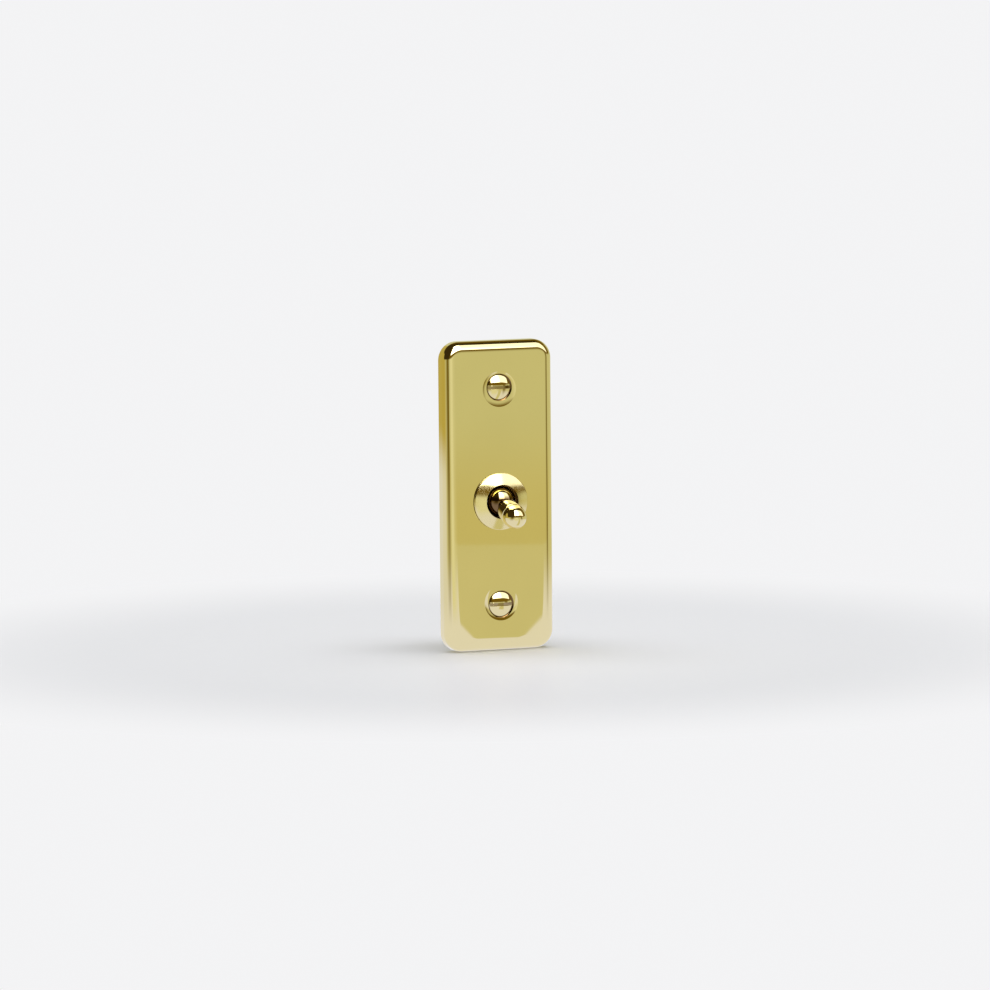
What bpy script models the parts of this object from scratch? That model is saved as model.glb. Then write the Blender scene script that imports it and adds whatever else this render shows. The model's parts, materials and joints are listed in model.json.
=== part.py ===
"""Narrow one-gang toggle wall switch with a pressed brass plate.

The front faces -Y and +Z is up. The origin is the centre of the plate's rear rim, in the plane of the wall.
"""

import math

import bmesh
import bpy
from mathutils import Matrix
from mathutils import Vector

MM = 0.001
QUARTER_TURN = math.pi / 2

# Clearances between pieces that rest on each other, and between pieces that move past each other
SEAT_GAP = 0.25 * MM
RUNNING_GAP = 0.3 * MM

# Pressed plate
PLATE_WIDTH = 32.4 * MM
PLATE_HEIGHT = 86.0 * MM
PLATE_DEPTH = 5.0 * MM
PLATE_SHEET = 1.0 * MM
PLATE_CORNER_RADIUS = 5.2 * MM
PLATE_EDGE_RADIUS = 2.65 * MM

# Fixing screws and the dishes that they sit in
FIXING_SPACING = 60.3 * MM
FIXING_THREAD_RADIUS = 1.75 * MM
FIXING_HEAD_RADIUS = 3.45 * MM
FIXING_HEAD_RISE = 1.0 * MM
FIXING_LENGTH = 22.0 * MM
FIXING_SLOT_WIDTH = 0.9 * MM
FIXING_SLOT_DEPTH = 0.9 * MM
DISH_RADIUS = 4.8 * MM
DISH_DEPTH = 0.4 * MM
DISH_WALL = 0.9 * MM

# Domed bezel ring
TOGGLE_DROP = 1.5 * MM
BEZEL_RADIUS = 7.95 * MM
BEZEL_SKIRT = 0.1 * MM
BEZEL_EDGE_ROUND = 0.4 * MM
BEZEL_EDGE_TURN = math.radians(72)
BEZEL_RIM_HEIGHT = 1.7 * MM
BEZEL_HOLE_RADIUS = 4.75 * MM
BEZEL_LIP = 0.5 * MM
BEZEL_DOME_TURN = math.radians(7)

# Threaded bush behind the bezel ring
BUSH_THREAD_RADIUS = 5.2 * MM
BUSH_FLANGE_WIDTH = 1.25 * MM
BUSH_FLANGE_THICKNESS = 1.0 * MM
BUSH_CHAMFER = 0.3 * MM
BUSH_SEAT_DEPTH = 1.5 * MM
BUSH_MOUTH = 0.5 * MM

# Washer and nut between the plate and the switch
WASHER_THICKNESS = 0.5 * MM
WASHER_RING_WIDTH = 1.4 * MM
WASHER_TOOTH = 0.9 * MM
WASHER_TEETH = 12
NUT_THICKNESS = 1.8 * MM
NUT_ACROSS_FLATS = 14.0 * MM

# Toggle lever, with stations measured from the pivot along the lever
LEVER_TILT = math.radians(17.5)
PIVOT_DEPTH = 0.5 * MM
BALL_RADIUS = 4.0 * MM
NECK_RADIUS = 1.9 * MM
SHOULDER_STATION = 5.6 * MM
SHOULDER_RADIUS = 3.0 * MM
SHOULDER_ROUND = 0.7 * MM
GROOVE_STATION = 10.4 * MM
GROOVE_BODY_RADIUS = 3.3 * MM
GROOVE_WIDTH = 0.4 * MM
GROOVE_DEPTH = 0.3 * MM
NOSE_RADIUS = 3.2 * MM
TIP_STATION = 14.9 * MM
TAIL_RADIUS = 2.4 * MM
TAIL_LENGTH = 10.5 * MM
TAIL_BORE_RADIUS = 1.6 * MM
TAIL_BORE_FLOOR = 3.0 * MM
PIN_RADIUS = 0.5 * MM

# Plunger and spring inside the lever's tail
PLUNGER_LENGTH = 5.7 * MM
PLUNGER_PROUD = 2.4 * MM
PLUNGER_CLEARANCE = 0.5 * MM
SPRING_WIRE_RADIUS = 0.18 * MM
SPRING_TURNS = 4
SPRING_POINTS_PER_TURN = 10

# See-saw contact strip
SEESAW_TILT = math.radians(7)
SEESAW_THICKNESS = 0.8 * MM
SEESAW_WIDTH = 5.0 * MM
SEESAW_OVERHANG = 1.8 * MM
CONTACT_ARM = 7.2 * MM
NOTCH_DEPTH = 0.9 * MM

# Silver contact tips
RIVET_SHANK_RADIUS = 0.8 * MM
RIVET_GAP = 0.15 * MM
RIVET_BACK_RADIUS = 1.2 * MM
RIVET_BACK_HEIGHT = 0.4 * MM
MOVING_TIP_RADIUS = 1.6 * MM
MOVING_TIP_EDGE = 0.6 * MM
MOVING_TIP_DOME = 0.3 * MM
FIXED_TIP_RADIUS = 1.9 * MM
FIXED_TIP_THICKNESS = 0.8 * MM
FIXED_TIP_SPIGOT_RADIUS = 0.6 * MM
FIXED_TIP_SPIGOT_LENGTH = 1.2 * MM

# Terminal blocks and their screws
BLOCK_WIDTH = 6.4 * MM
BLOCK_HEIGHT = 6.0 * MM
BLOCK_DEPTH = 6.4 * MM
WIRE_BORE_RADIUS = 1.5 * MM
WIRE_BORE_WALL = 0.8 * MM
STUB_RADIUS = 1.4 * MM
STUB_PROUD = 0.35 * MM
STUB_INSET = 1.6 * MM
CRADLE_THICKNESS = 2.0 * MM
CRADLE_CHEEK = 1.4 * MM
CRADLE_RISE = 0.6 * MM
TERMINAL_SCREW_RADIUS = 1.4 * MM
TERMINAL_SCREW_LENGTH = 4.4 * MM
TERMINAL_SLOT_WIDTH = 0.6 * MM
TERMINAL_SLOT_DEPTH = 0.8 * MM
EARTH_SPACING = 1.0 * MM

# Insulating case
COVER_THICKNESS = 1.2 * MM
CASE_SIDE_WALL = 2.4 * MM
CASE_END_WALL = 5.5 * MM
CASE_CORNER_RADIUS = 1.5 * MM
CHAMBER_CLEARANCE = 0.9 * MM
FLOOR_THICKNESS = 1.2 * MM
COVER_SCREW_RADIUS = 1.0 * MM
COVER_SCREW_LENGTH = 6.0 * MM
COVER_SCREW_HEAD_RADIUS = 1.8 * MM
COVER_SCREW_HEAD_HEIGHT = 1.1 * MM
COVER_SCREW_INSET = 3.3 * MM
COVER_SCREW_SLOT_WIDTH = 0.5 * MM
COVER_SCREW_SLOT_DEPTH = 0.55 * MM

# Fineness of round shapes: steps round a turned piece, and the angle that one step of an arc spans
VISIBLE_STEPS = 40
LEVER_STEPS = 32
HIDDEN_STEPS = 20
ARC_STEP = math.radians(10)
LEAST_ARC_STEPS = 4
CORNER_SEGMENTS = 8
EDGE_SEGMENTS = 6
POINTS_PER_TOOTH = 4

# How far a cutter runs past what it cuts, how near points are merged, and what counts as a sharp edge
CUT_MARGIN = 1.0 * MM
MERGE_DISTANCE = 0.001 * MM
SHARP_ANGLE = math.radians(40)

# Depths along Y, from the plate's front back to the rear of the case
PLATE_FRONT_Y = -PLATE_DEPTH
PLATE_BACK_Y = PLATE_FRONT_Y + PLATE_SHEET
WASHER_FRONT_Y = PLATE_BACK_Y + SEAT_GAP
NUT_FRONT_Y = WASHER_FRONT_Y + WASHER_THICKNESS + SEAT_GAP
COVER_FRONT_Y = NUT_FRONT_Y + NUT_THICKNESS + SEAT_GAP
COVER_BACK_Y = COVER_FRONT_Y + COVER_THICKNESS
CASE_FRONT_Y = COVER_BACK_Y + SEAT_GAP
FLANGE_BACK_Y = CASE_FRONT_Y + BUSH_FLANGE_THICKNESS
PIVOT_Y = PLATE_FRONT_Y + PIVOT_DEPTH
PLUNGER_RADIUS = TAIL_BORE_RADIUS - RUNNING_GAP
PLUNGER_CENTRE = TAIL_LENGTH + PLUNGER_PROUD - PLUNGER_RADIUS
FULCRUM_Y = PIVOT_Y + PLUNGER_CENTRE + PLUNGER_RADIUS + PLUNGER_CLEARANCE + SEESAW_THICKNESS / 2
CRADLE_FRONT_Y = FULCRUM_Y + SEESAW_THICKNESS / 2 + SEAT_GAP

# Where the closed contact tip meets its fixed tip, with the see-saw at rest
MOVING_TIP_REACH = SEESAW_THICKNESS / 2 + RIVET_GAP + MOVING_TIP_EDGE + MOVING_TIP_DOME
CLOSED_TIP_Y = FULCRUM_Y + CONTACT_ARM * math.sin(SEESAW_TILT) + MOVING_TIP_REACH * math.cos(SEESAW_TILT)
CONTACT_Z = CONTACT_ARM * math.cos(SEESAW_TILT) - MOVING_TIP_REACH * math.sin(SEESAW_TILT)
FIXED_TIP_Y = CLOSED_TIP_Y + SEAT_GAP
STUB_FRONT_Y = FIXED_TIP_Y + FIXED_TIP_THICKNESS + SEAT_GAP
FLOOR_FRONT_Y = STUB_FRONT_Y + STUB_PROUD
FLOOR_BACK_Y = FLOOR_FRONT_Y + FLOOR_THICKNESS
BLOCK_FRONT_Y = FLOOR_BACK_Y + SEAT_GAP
WIRE_BORE_OFFSET = WIRE_BORE_WALL + WIRE_BORE_RADIUS
TERMINAL_SCREW_OFFSET = WIRE_BORE_OFFSET + WIRE_BORE_RADIUS
CASE_BACK_Y = BLOCK_FRONT_Y + max(BLOCK_DEPTH, TERMINAL_SCREW_OFFSET + TERMINAL_SCREW_LENGTH) + SEAT_GAP

# Widths and heights of the case, which follow what it holds
TOGGLE_Z = -TOGGLE_DROP
BUSH_FLANGE_RADIUS = BUSH_THREAD_RADIUS + BUSH_FLANGE_WIDTH
BUSH_HOLE_RADIUS = BUSH_THREAD_RADIUS + SEAT_GAP
SEESAW_HALF_LENGTH = CONTACT_ARM + SEESAW_OVERHANG
CHAMBER_HALF_WIDTH = BUSH_FLANGE_RADIUS + CHAMBER_CLEARANCE
CHAMBER_HALF_HEIGHT = SEESAW_HALF_LENGTH + CHAMBER_CLEARANCE
CASE_HALF_WIDTH = CHAMBER_HALF_WIDTH + CASE_SIDE_WALL
CASE_HALF_HEIGHT = CHAMBER_HALF_HEIGHT + CASE_END_WALL
COVER_SCREW_X = CASE_HALF_WIDTH - COVER_SCREW_INSET
COVER_SCREW_Z = CHAMBER_HALF_HEIGHT + CASE_END_WALL / 2
TERMINAL_PITCH = CONTACT_Z + STUB_INSET
POCKET_HALF_WIDTH = BLOCK_WIDTH / 2 + SEAT_GAP
POCKET_HALF_HEIGHT = BLOCK_HEIGHT / 2 + SEAT_GAP
REAR_HALF_WIDTH = POCKET_HALF_WIDTH + CASE_SIDE_WALL
REAR_HALF_HEIGHT = TERMINAL_PITCH + POCKET_HALF_HEIGHT + CASE_SIDE_WALL
EARTH_Z = TOGGLE_Z + CASE_HALF_HEIGHT + EARTH_SPACING + BLOCK_HEIGHT / 2
FIXING_Z = FIXING_SPACING / 2
CRADLE_HALF_WIDTH = SEESAW_WIDTH / 2 - NOTCH_DEPTH + RUNNING_GAP + CRADLE_CHEEK


def clear_scene():
    """Remove every object, and the two collections of an earlier run."""
    for thing in list(bpy.data.objects):
        bpy.data.objects.remove(thing, do_unlink=True)
    for name in ("toggle_wall_switch", "toggle_wall_switch_cutters"):
        if name in bpy.data.collections:
            bpy.data.collections.remove(bpy.data.collections[name])


def new_collection(name):
    collection = bpy.data.collections.new(name)
    bpy.context.scene.collection.children.link(collection)
    return collection


def make_material(name, colour, roughness, metallic):
    material = bpy.data.materials.new(name)
    material.use_nodes = True
    shader = material.node_tree.nodes["Principled BSDF"]
    shader.inputs["Base Color"].default_value = (*colour, 1)
    shader.inputs["Roughness"].default_value = roughness
    shader.inputs["Metallic"].default_value = metallic
    return material


clear_scene()
PARTS = new_collection("toggle_wall_switch")
CUTTERS = new_collection("toggle_wall_switch_cutters")
POLISHED_BRASS = make_material("polished_brass", (0.84, 0.735, 0.38), 0.12, 1.0)
MACHINED_BRASS = make_material("machined_brass", (0.70, 0.52, 0.20), 0.35, 1.0)
STEEL = make_material("steel", (0.56, 0.57, 0.58), 0.30, 1.0)
COPPER = make_material("copper_strip", (0.72, 0.35, 0.20), 0.35, 1.0)
SILVER = make_material("silver", (0.86, 0.85, 0.82), 0.25, 1.0)
WHITE_MOULDING = make_material("white_moulding", (0.80, 0.79, 0.75), 0.50, 0.0)
NYLON = make_material("nylon", (0.72, 0.70, 0.62), 0.45, 0.0)


def add_part(name, data, material):
    """Put a mesh or curve in the parts collection under its own name."""
    data.materials.append(material)
    part = bpy.data.objects.new(name, data)
    PARTS.objects.link(part)
    return part


def as_cutter(part):
    """Turn a finished shape into one that only cuts or joins."""
    PARTS.objects.unlink(part)
    CUTTERS.objects.link(part)
    part.hide_render = True
    part.display_type = "WIRE"
    return part


def combine(part, other, operation):
    modifier = part.modifiers.new(other.name, "BOOLEAN")
    modifier.operation = operation
    modifier.solver = "EXACT"
    modifier.object = other


def cut(part, cutter):
    combine(part, as_cutter(cutter), "DIFFERENCE")


def join(part, extra):
    combine(part, as_cutter(extra), "UNION")


def arc_points(centre, radius, start, end):
    """Points on an arc as (radius, height) pairs, both ends included."""
    count = max(LEAST_ARC_STEPS, round(abs(end - start) / ARC_STEP))
    points = []
    for index in range(count + 1):
        angle = start + (end - start) * index / count
        points.append((centre[0] + radius * math.cos(angle), centre[1] + radius * math.sin(angle)))
    return points


def bulged_points(start, end, turn):
    """Points on the arc from start to end that turns by the given angle, bulging to its left."""
    chord = Vector(end) - Vector(start)
    radius = chord.length / 2 / math.sin(turn / 2)
    middle = (Vector(start) + Vector(end)) / 2
    normal = Vector((chord.y, -chord.x)).normalized()
    centre = middle + normal * radius * math.cos(turn / 2)
    first = math.atan2(start[1] - centre.y, start[0] - centre.x)
    return arc_points(centre, radius, first, first - turn)


def turned(name, profile, material, steps):
    """Spin a profile of (radius, height) points round Z, from its top down the outer side."""
    mesh = bpy.data.meshes.new(name)
    closed = profile[0][0] > 0 and profile[-1][0] > 0
    edges = [(index, index + 1) for index in range(len(profile) - 1)]
    if closed:
        edges.append((len(profile) - 1, 0))
    mesh.from_pydata([(radius, 0, height) for radius, height in profile], edges, [])
    part = add_part(name, mesh, material)
    screw = part.modifiers.new("Screw", "SCREW")
    screw.axis = "Z"
    screw.steps = steps
    screw.render_steps = steps
    screw.use_merge_vertices = True
    screw.merge_threshold = MERGE_DISTANCE
    return part


def box(name, size, material):
    mesh = bpy.data.meshes.new(name)
    shape = bmesh.new()
    bmesh.ops.create_cube(shape, size=1)
    bmesh.ops.scale(shape, vec=size, verts=shape.verts)
    shape.to_mesh(mesh)
    shape.free()
    return add_part(name, mesh, material)


def cylinder(name, radius, length, axis, material, steps=HIDDEN_STEPS):
    """A cylinder centred on its origin, along X or Y."""
    mesh = bpy.data.meshes.new(name)
    shape = bmesh.new()
    turn = Matrix.Rotation(QUARTER_TURN, 4, "Y" if axis == "X" else "X")
    bmesh.ops.create_cone(
        shape, cap_ends=True, segments=steps, radius1=radius, radius2=radius, depth=length, matrix=turn
    )
    shape.to_mesh(mesh)
    shape.free()
    mesh.shade_smooth()
    mesh.set_sharp_from_angle(angle=SHARP_ANGLE)
    return add_part(name, mesh, material)


def circle_loop(radius, count, centre_x=0, centre_y=0):
    step = 2 * math.pi / count
    return [
        (centre_x + radius * math.cos(step * index), centre_y + radius * math.sin(step * index))
        for index in range(count)
    ]


def rounded_rectangle(half_width, half_height, radius):
    loop = []
    for corner, (side_x, side_y) in enumerate([(1, 1), (-1, 1), (-1, -1), (1, -1)]):
        centre = (side_x * (half_width - radius), side_y * (half_height - radius))
        start = corner * QUARTER_TURN
        loop += arc_points(centre, radius, start, start + QUARTER_TURN)
    return loop


def flat(name, loops, thickness, material):
    """A flat outline with holes, in the XY plane, with its thickness shared about it."""
    curve = bpy.data.curves.new(name, "CURVE")
    curve.dimensions = "2D"
    curve.fill_mode = "BOTH"
    curve.extrude = thickness / 2
    for loop in loops:
        spline = curve.splines.new("POLY")
        spline.points.add(len(loop) - 1)
        for point, (x, y) in zip(spline.points, loop):
            point.co = (x, y, 0, 1)
        spline.use_cyclic_u = True
    return add_part(name, curve, material)


def curve_to_mesh(part):
    """Swap a curve object for a welded mesh object of the same name, material and place."""
    name = part.name
    material = part.data.materials[0]
    placed = part.matrix_basis.copy()
    bpy.context.view_layer.update()
    mesh = bpy.data.meshes.new_from_object(part.evaluated_get(bpy.context.evaluated_depsgraph_get()))
    bpy.data.objects.remove(part, do_unlink=True)
    shape = bmesh.new()
    shape.from_mesh(mesh)
    bmesh.ops.remove_doubles(shape, verts=shape.verts, dist=MERGE_DISTANCE)
    bmesh.ops.recalc_face_normals(shape, faces=shape.faces)
    shape.to_mesh(mesh)
    shape.free()
    mesh.materials.clear()
    solid = add_part(name, mesh, material)
    solid.matrix_basis = placed
    return solid


def face_front(part, x, y, z):
    """Place a piece so that its own Z points out of the wall."""
    part.location = (x, y, z)
    part.rotation_euler = (QUARTER_TURN, 0, 0)
    return part


def lying_flat(part, front_y, thickness):
    """Place a flat outline parallel to the wall and in line with the lever, with its front at front_y."""
    return face_front(part, 0, front_y + thickness / 2, TOGGLE_Z)


def pivot_empty(name, y, tilt):
    """An empty on a joint's axis, leaning about X, to hold what moves with that joint."""
    empty = bpy.data.objects.new(name, None)
    PARTS.objects.link(empty)
    empty.location = (0, y, TOGGLE_Z)
    empty.rotation_euler = (tilt, 0, 0)
    return empty


def on_pivot(part, empty):
    part.parent = empty
    return part


def dish_profile(shank_radius, depth):
    """The cutter for a dished countersink, whose cone runs on past the plate's front plane at height 0."""
    seat_radius = FIXING_HEAD_RADIUS + SEAT_GAP * math.sqrt(2)
    cone_foot = -DISH_DEPTH - (seat_radius - shank_radius)
    return [
        (0, DISH_DEPTH),
        (2 * DISH_RADIUS - seat_radius, DISH_DEPTH),
        (seat_radius, -DISH_DEPTH),
        (shank_radius, cone_foot),
        (shank_radius, cone_foot - depth),
        (0, cone_foot - depth),
    ]


def make_dish_boss(label, shank_radius):
    """The pressed-back metal round a dish, a cone from inside the sheet to behind it."""
    seat_radius = FIXING_HEAD_RADIUS + SEAT_GAP * math.sqrt(2)
    front = -PLATE_SHEET / 2
    back = -DISH_DEPTH - (seat_radius - shank_radius) - DISH_WALL / 2
    foot_radius = shank_radius + DISH_WALL
    mesh = bpy.data.meshes.new(label + "_dish_boss")
    shape = bmesh.new()
    bmesh.ops.create_cone(
        shape,
        cap_ends=True,
        segments=VISIBLE_STEPS,
        radius1=foot_radius,
        radius2=foot_radius + front - back,
        depth=front - back,
        matrix=Matrix.Translation((0, 0, (front + back) / 2)),
    )
    shape.to_mesh(mesh)
    shape.free()
    return add_part(label + "_dish_boss", mesh, POLISHED_BRASS)


def make_face_plate():
    mesh = bpy.data.meshes.new("face_plate")
    shape = bmesh.new()
    bmesh.ops.create_cube(shape, size=1)
    bmesh.ops.scale(shape, vec=(PLATE_WIDTH, PLATE_DEPTH, PLATE_HEIGHT), verts=shape.verts)
    bmesh.ops.translate(shape, vec=(0, -PLATE_DEPTH / 2, 0), verts=shape.verts)
    long_edges = [
        edge for edge in shape.edges if abs(edge.verts[0].co.y - edge.verts[1].co.y) > PLATE_DEPTH / 2
    ]
    bmesh.ops.bevel(
        shape,
        geom=long_edges,
        offset=PLATE_CORNER_RADIUS,
        segments=CORNER_SEGMENTS,
        profile=0.5,
        affect="EDGES",
    )
    front = min(shape.faces, key=lambda face: face.calc_center_median().y)
    bmesh.ops.bevel(
        shape,
        geom=list(front.edges),
        offset=PLATE_EDGE_RADIUS,
        segments=EDGE_SEGMENTS,
        profile=0.5,
        affect="EDGES",
    )
    back = max(shape.faces, key=lambda face: face.calc_center_median().y)
    bmesh.ops.delete(shape, geom=[back], context="FACES_ONLY")
    shape.to_mesh(mesh)
    shape.free()
    mesh.shade_smooth()
    mesh.set_sharp_from_angle(angle=SHARP_ANGLE)
    plate = add_part("face_plate", mesh, POLISHED_BRASS)
    shell = plate.modifiers.new("Sheet", "SOLIDIFY")
    shell.thickness = PLATE_SHEET
    shell.offset = -1
    shell.use_even_offset = True
    shank_hole = FIXING_THREAD_RADIUS + SEAT_GAP
    places = (("upper", FIXING_Z), ("lower", -FIXING_Z))
    for label, z in places:
        boss = make_dish_boss(label, shank_hole)
        join(plate, face_front(boss, 0, PLATE_FRONT_Y, z))
    for label, z in places:
        dish = turned(label + "_dish", dish_profile(shank_hole, PLATE_DEPTH), POLISHED_BRASS, VISIBLE_STEPS)
        cut(plate, face_front(dish, 0, PLATE_FRONT_Y, z))
    hole_length = PLATE_SHEET + 2 * CUT_MARGIN
    hole = cylinder("bush_hole", BUSH_HOLE_RADIUS, hole_length, "Y", POLISHED_BRASS, VISIBLE_STEPS)
    hole.location = (0, PLATE_FRONT_Y + PLATE_SHEET / 2, TOGGLE_Z)
    cut(plate, hole)


def make_fixing_screw(label, z):
    """A slotted raised countersunk screw whose rim lies at the foot of the dish."""
    dome_turn = 2 * math.atan(FIXING_HEAD_RISE / FIXING_HEAD_RADIUS)
    dome_radius = FIXING_HEAD_RADIUS / math.sin(dome_turn)
    dome_centre = (0, FIXING_HEAD_RISE - dome_radius)
    dome = arc_points(dome_centre, dome_radius, QUARTER_TURN, QUARTER_TURN - dome_turn)
    cone_foot = -(FIXING_HEAD_RADIUS - FIXING_THREAD_RADIUS)
    shank = [(FIXING_THREAD_RADIUS, cone_foot), (FIXING_THREAD_RADIUS, -FIXING_LENGTH), (0, -FIXING_LENGTH)]
    profile = [(0, FIXING_HEAD_RISE)] + dome[1:] + shank
    screw = turned(label + "_fixing_screw", profile, POLISHED_BRASS, LEVER_STEPS)
    face_front(screw, 0, PLATE_FRONT_Y + DISH_DEPTH, z)
    slot_length = 2 * (FIXING_HEAD_RADIUS + CUT_MARGIN)
    slot_size = (slot_length, 2 * FIXING_SLOT_DEPTH, FIXING_SLOT_WIDTH)
    slot = box(label + "_fixing_slot", slot_size, POLISHED_BRASS)
    slot.location = (0, PLATE_FRONT_Y + DISH_DEPTH - FIXING_HEAD_RISE, z)
    cut(screw, slot)


def make_bezel_ring():
    lip_back = BEZEL_RIM_HEIGHT - BEZEL_LIP
    edge_centre = (BEZEL_RADIUS - BEZEL_EDGE_ROUND, SEAT_GAP + BEZEL_SKIRT)
    edge = arc_points(edge_centre, BEZEL_EDGE_ROUND, BEZEL_EDGE_TURN, 0)
    dome = bulged_points((BEZEL_HOLE_RADIUS, BEZEL_RIM_HEIGHT), edge[0], BEZEL_DOME_TURN)
    foot = [
        (BEZEL_RADIUS, SEAT_GAP),
        (BUSH_HOLE_RADIUS, SEAT_GAP),
        (BUSH_HOLE_RADIUS, lip_back),
        (BEZEL_HOLE_RADIUS, lip_back),
    ]
    ring = turned("bezel_ring", dome[:-1] + edge + foot, POLISHED_BRASS, VISIBLE_STEPS)
    face_front(ring, 0, PLATE_FRONT_Y, TOGGLE_Z)


def make_mounting_bush():
    """The threaded bush: a seat for the ball in front, and a cone for the lever's tail behind."""
    front = BEZEL_RIM_HEIGHT - BEZEL_LIP - SEAT_GAP
    flange_front = PLATE_FRONT_Y - CASE_FRONT_Y
    flange_back = PLATE_FRONT_Y - FLANGE_BACK_Y
    seat_radius = BALL_RADIUS + RUNNING_GAP
    tail_sweep = (FLANGE_BACK_Y - PIVOT_Y) * math.tan(LEVER_TILT) + TAIL_RADIUS / math.cos(LEVER_TILT)
    bore_radius = tail_sweep + RUNNING_GAP
    seat_back = -PIVOT_DEPTH - BUSH_SEAT_DEPTH
    profile = [
        (seat_radius + BUSH_MOUTH, front),
        (BUSH_THREAD_RADIUS - BUSH_CHAMFER, front),
        (BUSH_THREAD_RADIUS, front - BUSH_CHAMFER),
        (BUSH_THREAD_RADIUS, flange_front),
        (BUSH_FLANGE_RADIUS, flange_front),
        (BUSH_FLANGE_RADIUS, flange_back),
        (bore_radius, flange_back),
        (seat_radius, seat_back),
        (seat_radius, front - BUSH_MOUTH),
    ]
    bush = turned("mounting_bush", profile, MACHINED_BRASS, VISIBLE_STEPS)
    face_front(bush, 0, PLATE_FRONT_Y, TOGGLE_Z)
    pin_hole_length = 2 * (BUSH_THREAD_RADIUS + CUT_MARGIN)
    pin_hole = cylinder("bush_pin_hole", PIN_RADIUS + SEAT_GAP, pin_hole_length, "X", MACHINED_BRASS)
    pin_hole.location = (0, PIVOT_Y, TOGGLE_Z)
    cut(bush, pin_hole)
    pin = cylinder("pivot_pin", PIN_RADIUS, 2 * (BUSH_THREAD_RADIUS - SEAT_GAP), "X", STEEL)
    pin.location = (0, PIVOT_Y, TOGGLE_Z)


def make_washer_and_nut():
    teeth = []
    inner = BUSH_HOLE_RADIUS + WASHER_RING_WIDTH
    count = POINTS_PER_TOOTH * WASHER_TEETH
    step = 2 * math.pi / count
    for index in range(count):
        on_tooth = index % POINTS_PER_TOOTH < POINTS_PER_TOOTH / 2
        radius = inner + WASHER_TOOTH if on_tooth else inner
        teeth.append((radius * math.cos(step * index), radius * math.sin(step * index)))
    bush_hole = circle_loop(BUSH_HOLE_RADIUS, VISIBLE_STEPS)
    washer = flat("lock_washer", [teeth, bush_hole], WASHER_THICKNESS, STEEL)
    lying_flat(washer, WASHER_FRONT_Y, WASHER_THICKNESS)
    hexagon = circle_loop(NUT_ACROSS_FLATS / math.sqrt(3), 6)
    nut = flat("lock_nut", [hexagon, bush_hole], NUT_THICKNESS, MACHINED_BRASS)
    lying_flat(nut, NUT_FRONT_Y, NUT_THICKNESS)


def lever_profile():
    """The lever from its tip to the floor of its tail bore, with the pivot at height 0."""
    nose = arc_points((0, TIP_STATION - NOSE_RADIUS), NOSE_RADIUS, QUARTER_TURN, 0)
    half_groove = GROOVE_WIDTH / 2
    groove = [
        (GROOVE_BODY_RADIUS, GROOVE_STATION + half_groove),
        (GROOVE_BODY_RADIUS - GROOVE_DEPTH, GROOVE_STATION),
        (GROOVE_BODY_RADIUS, GROOVE_STATION - half_groove),
    ]
    shoulder_centre = (SHOULDER_RADIUS - SHOULDER_ROUND, SHOULDER_STATION + SHOULDER_ROUND)
    shoulder = arc_points(shoulder_centre, SHOULDER_ROUND, 0, -QUARTER_TURN)
    neck_top = (NECK_RADIUS, SHOULDER_STATION)
    ball_start = math.acos(NECK_RADIUS / BALL_RADIUS)
    ball_end = -math.acos(TAIL_RADIUS / BALL_RADIUS)
    ball = arc_points((0, 0), BALL_RADIUS, ball_start, ball_end)
    tail = [
        (TAIL_RADIUS, -TAIL_LENGTH),
        (TAIL_BORE_RADIUS, -TAIL_LENGTH),
        (TAIL_BORE_RADIUS, -TAIL_BORE_FLOOR),
        (0, -TAIL_BORE_FLOOR),
    ]
    return [(0, TIP_STATION)] + nose[1:] + groove + shoulder + [neck_top] + ball + tail


def make_lever(pivot):
    lever = turned("toggle_lever", lever_profile(), POLISHED_BRASS, LEVER_STEPS)
    on_pivot(face_front(lever, 0, 0, 0), pivot)
    pin_hole_length = 2 * (BALL_RADIUS + CUT_MARGIN)
    pin_hole = cylinder("lever_pin_hole", PIN_RADIUS + RUNNING_GAP, pin_hole_length, "X", POLISHED_BRASS)
    on_pivot(pin_hole, pivot)
    cut(lever, pin_hole)


def make_plunger(pivot):
    """The plunger at its pushed-in place, with a round nose that rides on the see-saw."""
    inner_end = PLUNGER_LENGTH - TAIL_LENGTH - PLUNGER_PROUD
    nose = arc_points((0, -PLUNGER_CENTRE), PLUNGER_RADIUS, 0, -QUARTER_TURN)
    profile = [(0, inner_end), (PLUNGER_RADIUS, inner_end)] + nose[:-1]
    profile.append((0, -PLUNGER_CENTRE - PLUNGER_RADIUS))
    plunger = turned("plunger", profile, NYLON, HIDDEN_STEPS)
    on_pivot(face_front(plunger, 0, 0, 0), pivot)


def least_gap_between_turns(points, wire_radius):
    """The smallest clear distance between points of the coil that lie over half a turn apart."""
    least = math.inf
    for index, point in enumerate(points):
        for other in points[index + SPRING_POINTS_PER_TURN // 2 + 1:]:
            least = min(least, (point - other).length - 2 * wire_radius)
    return least


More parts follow.
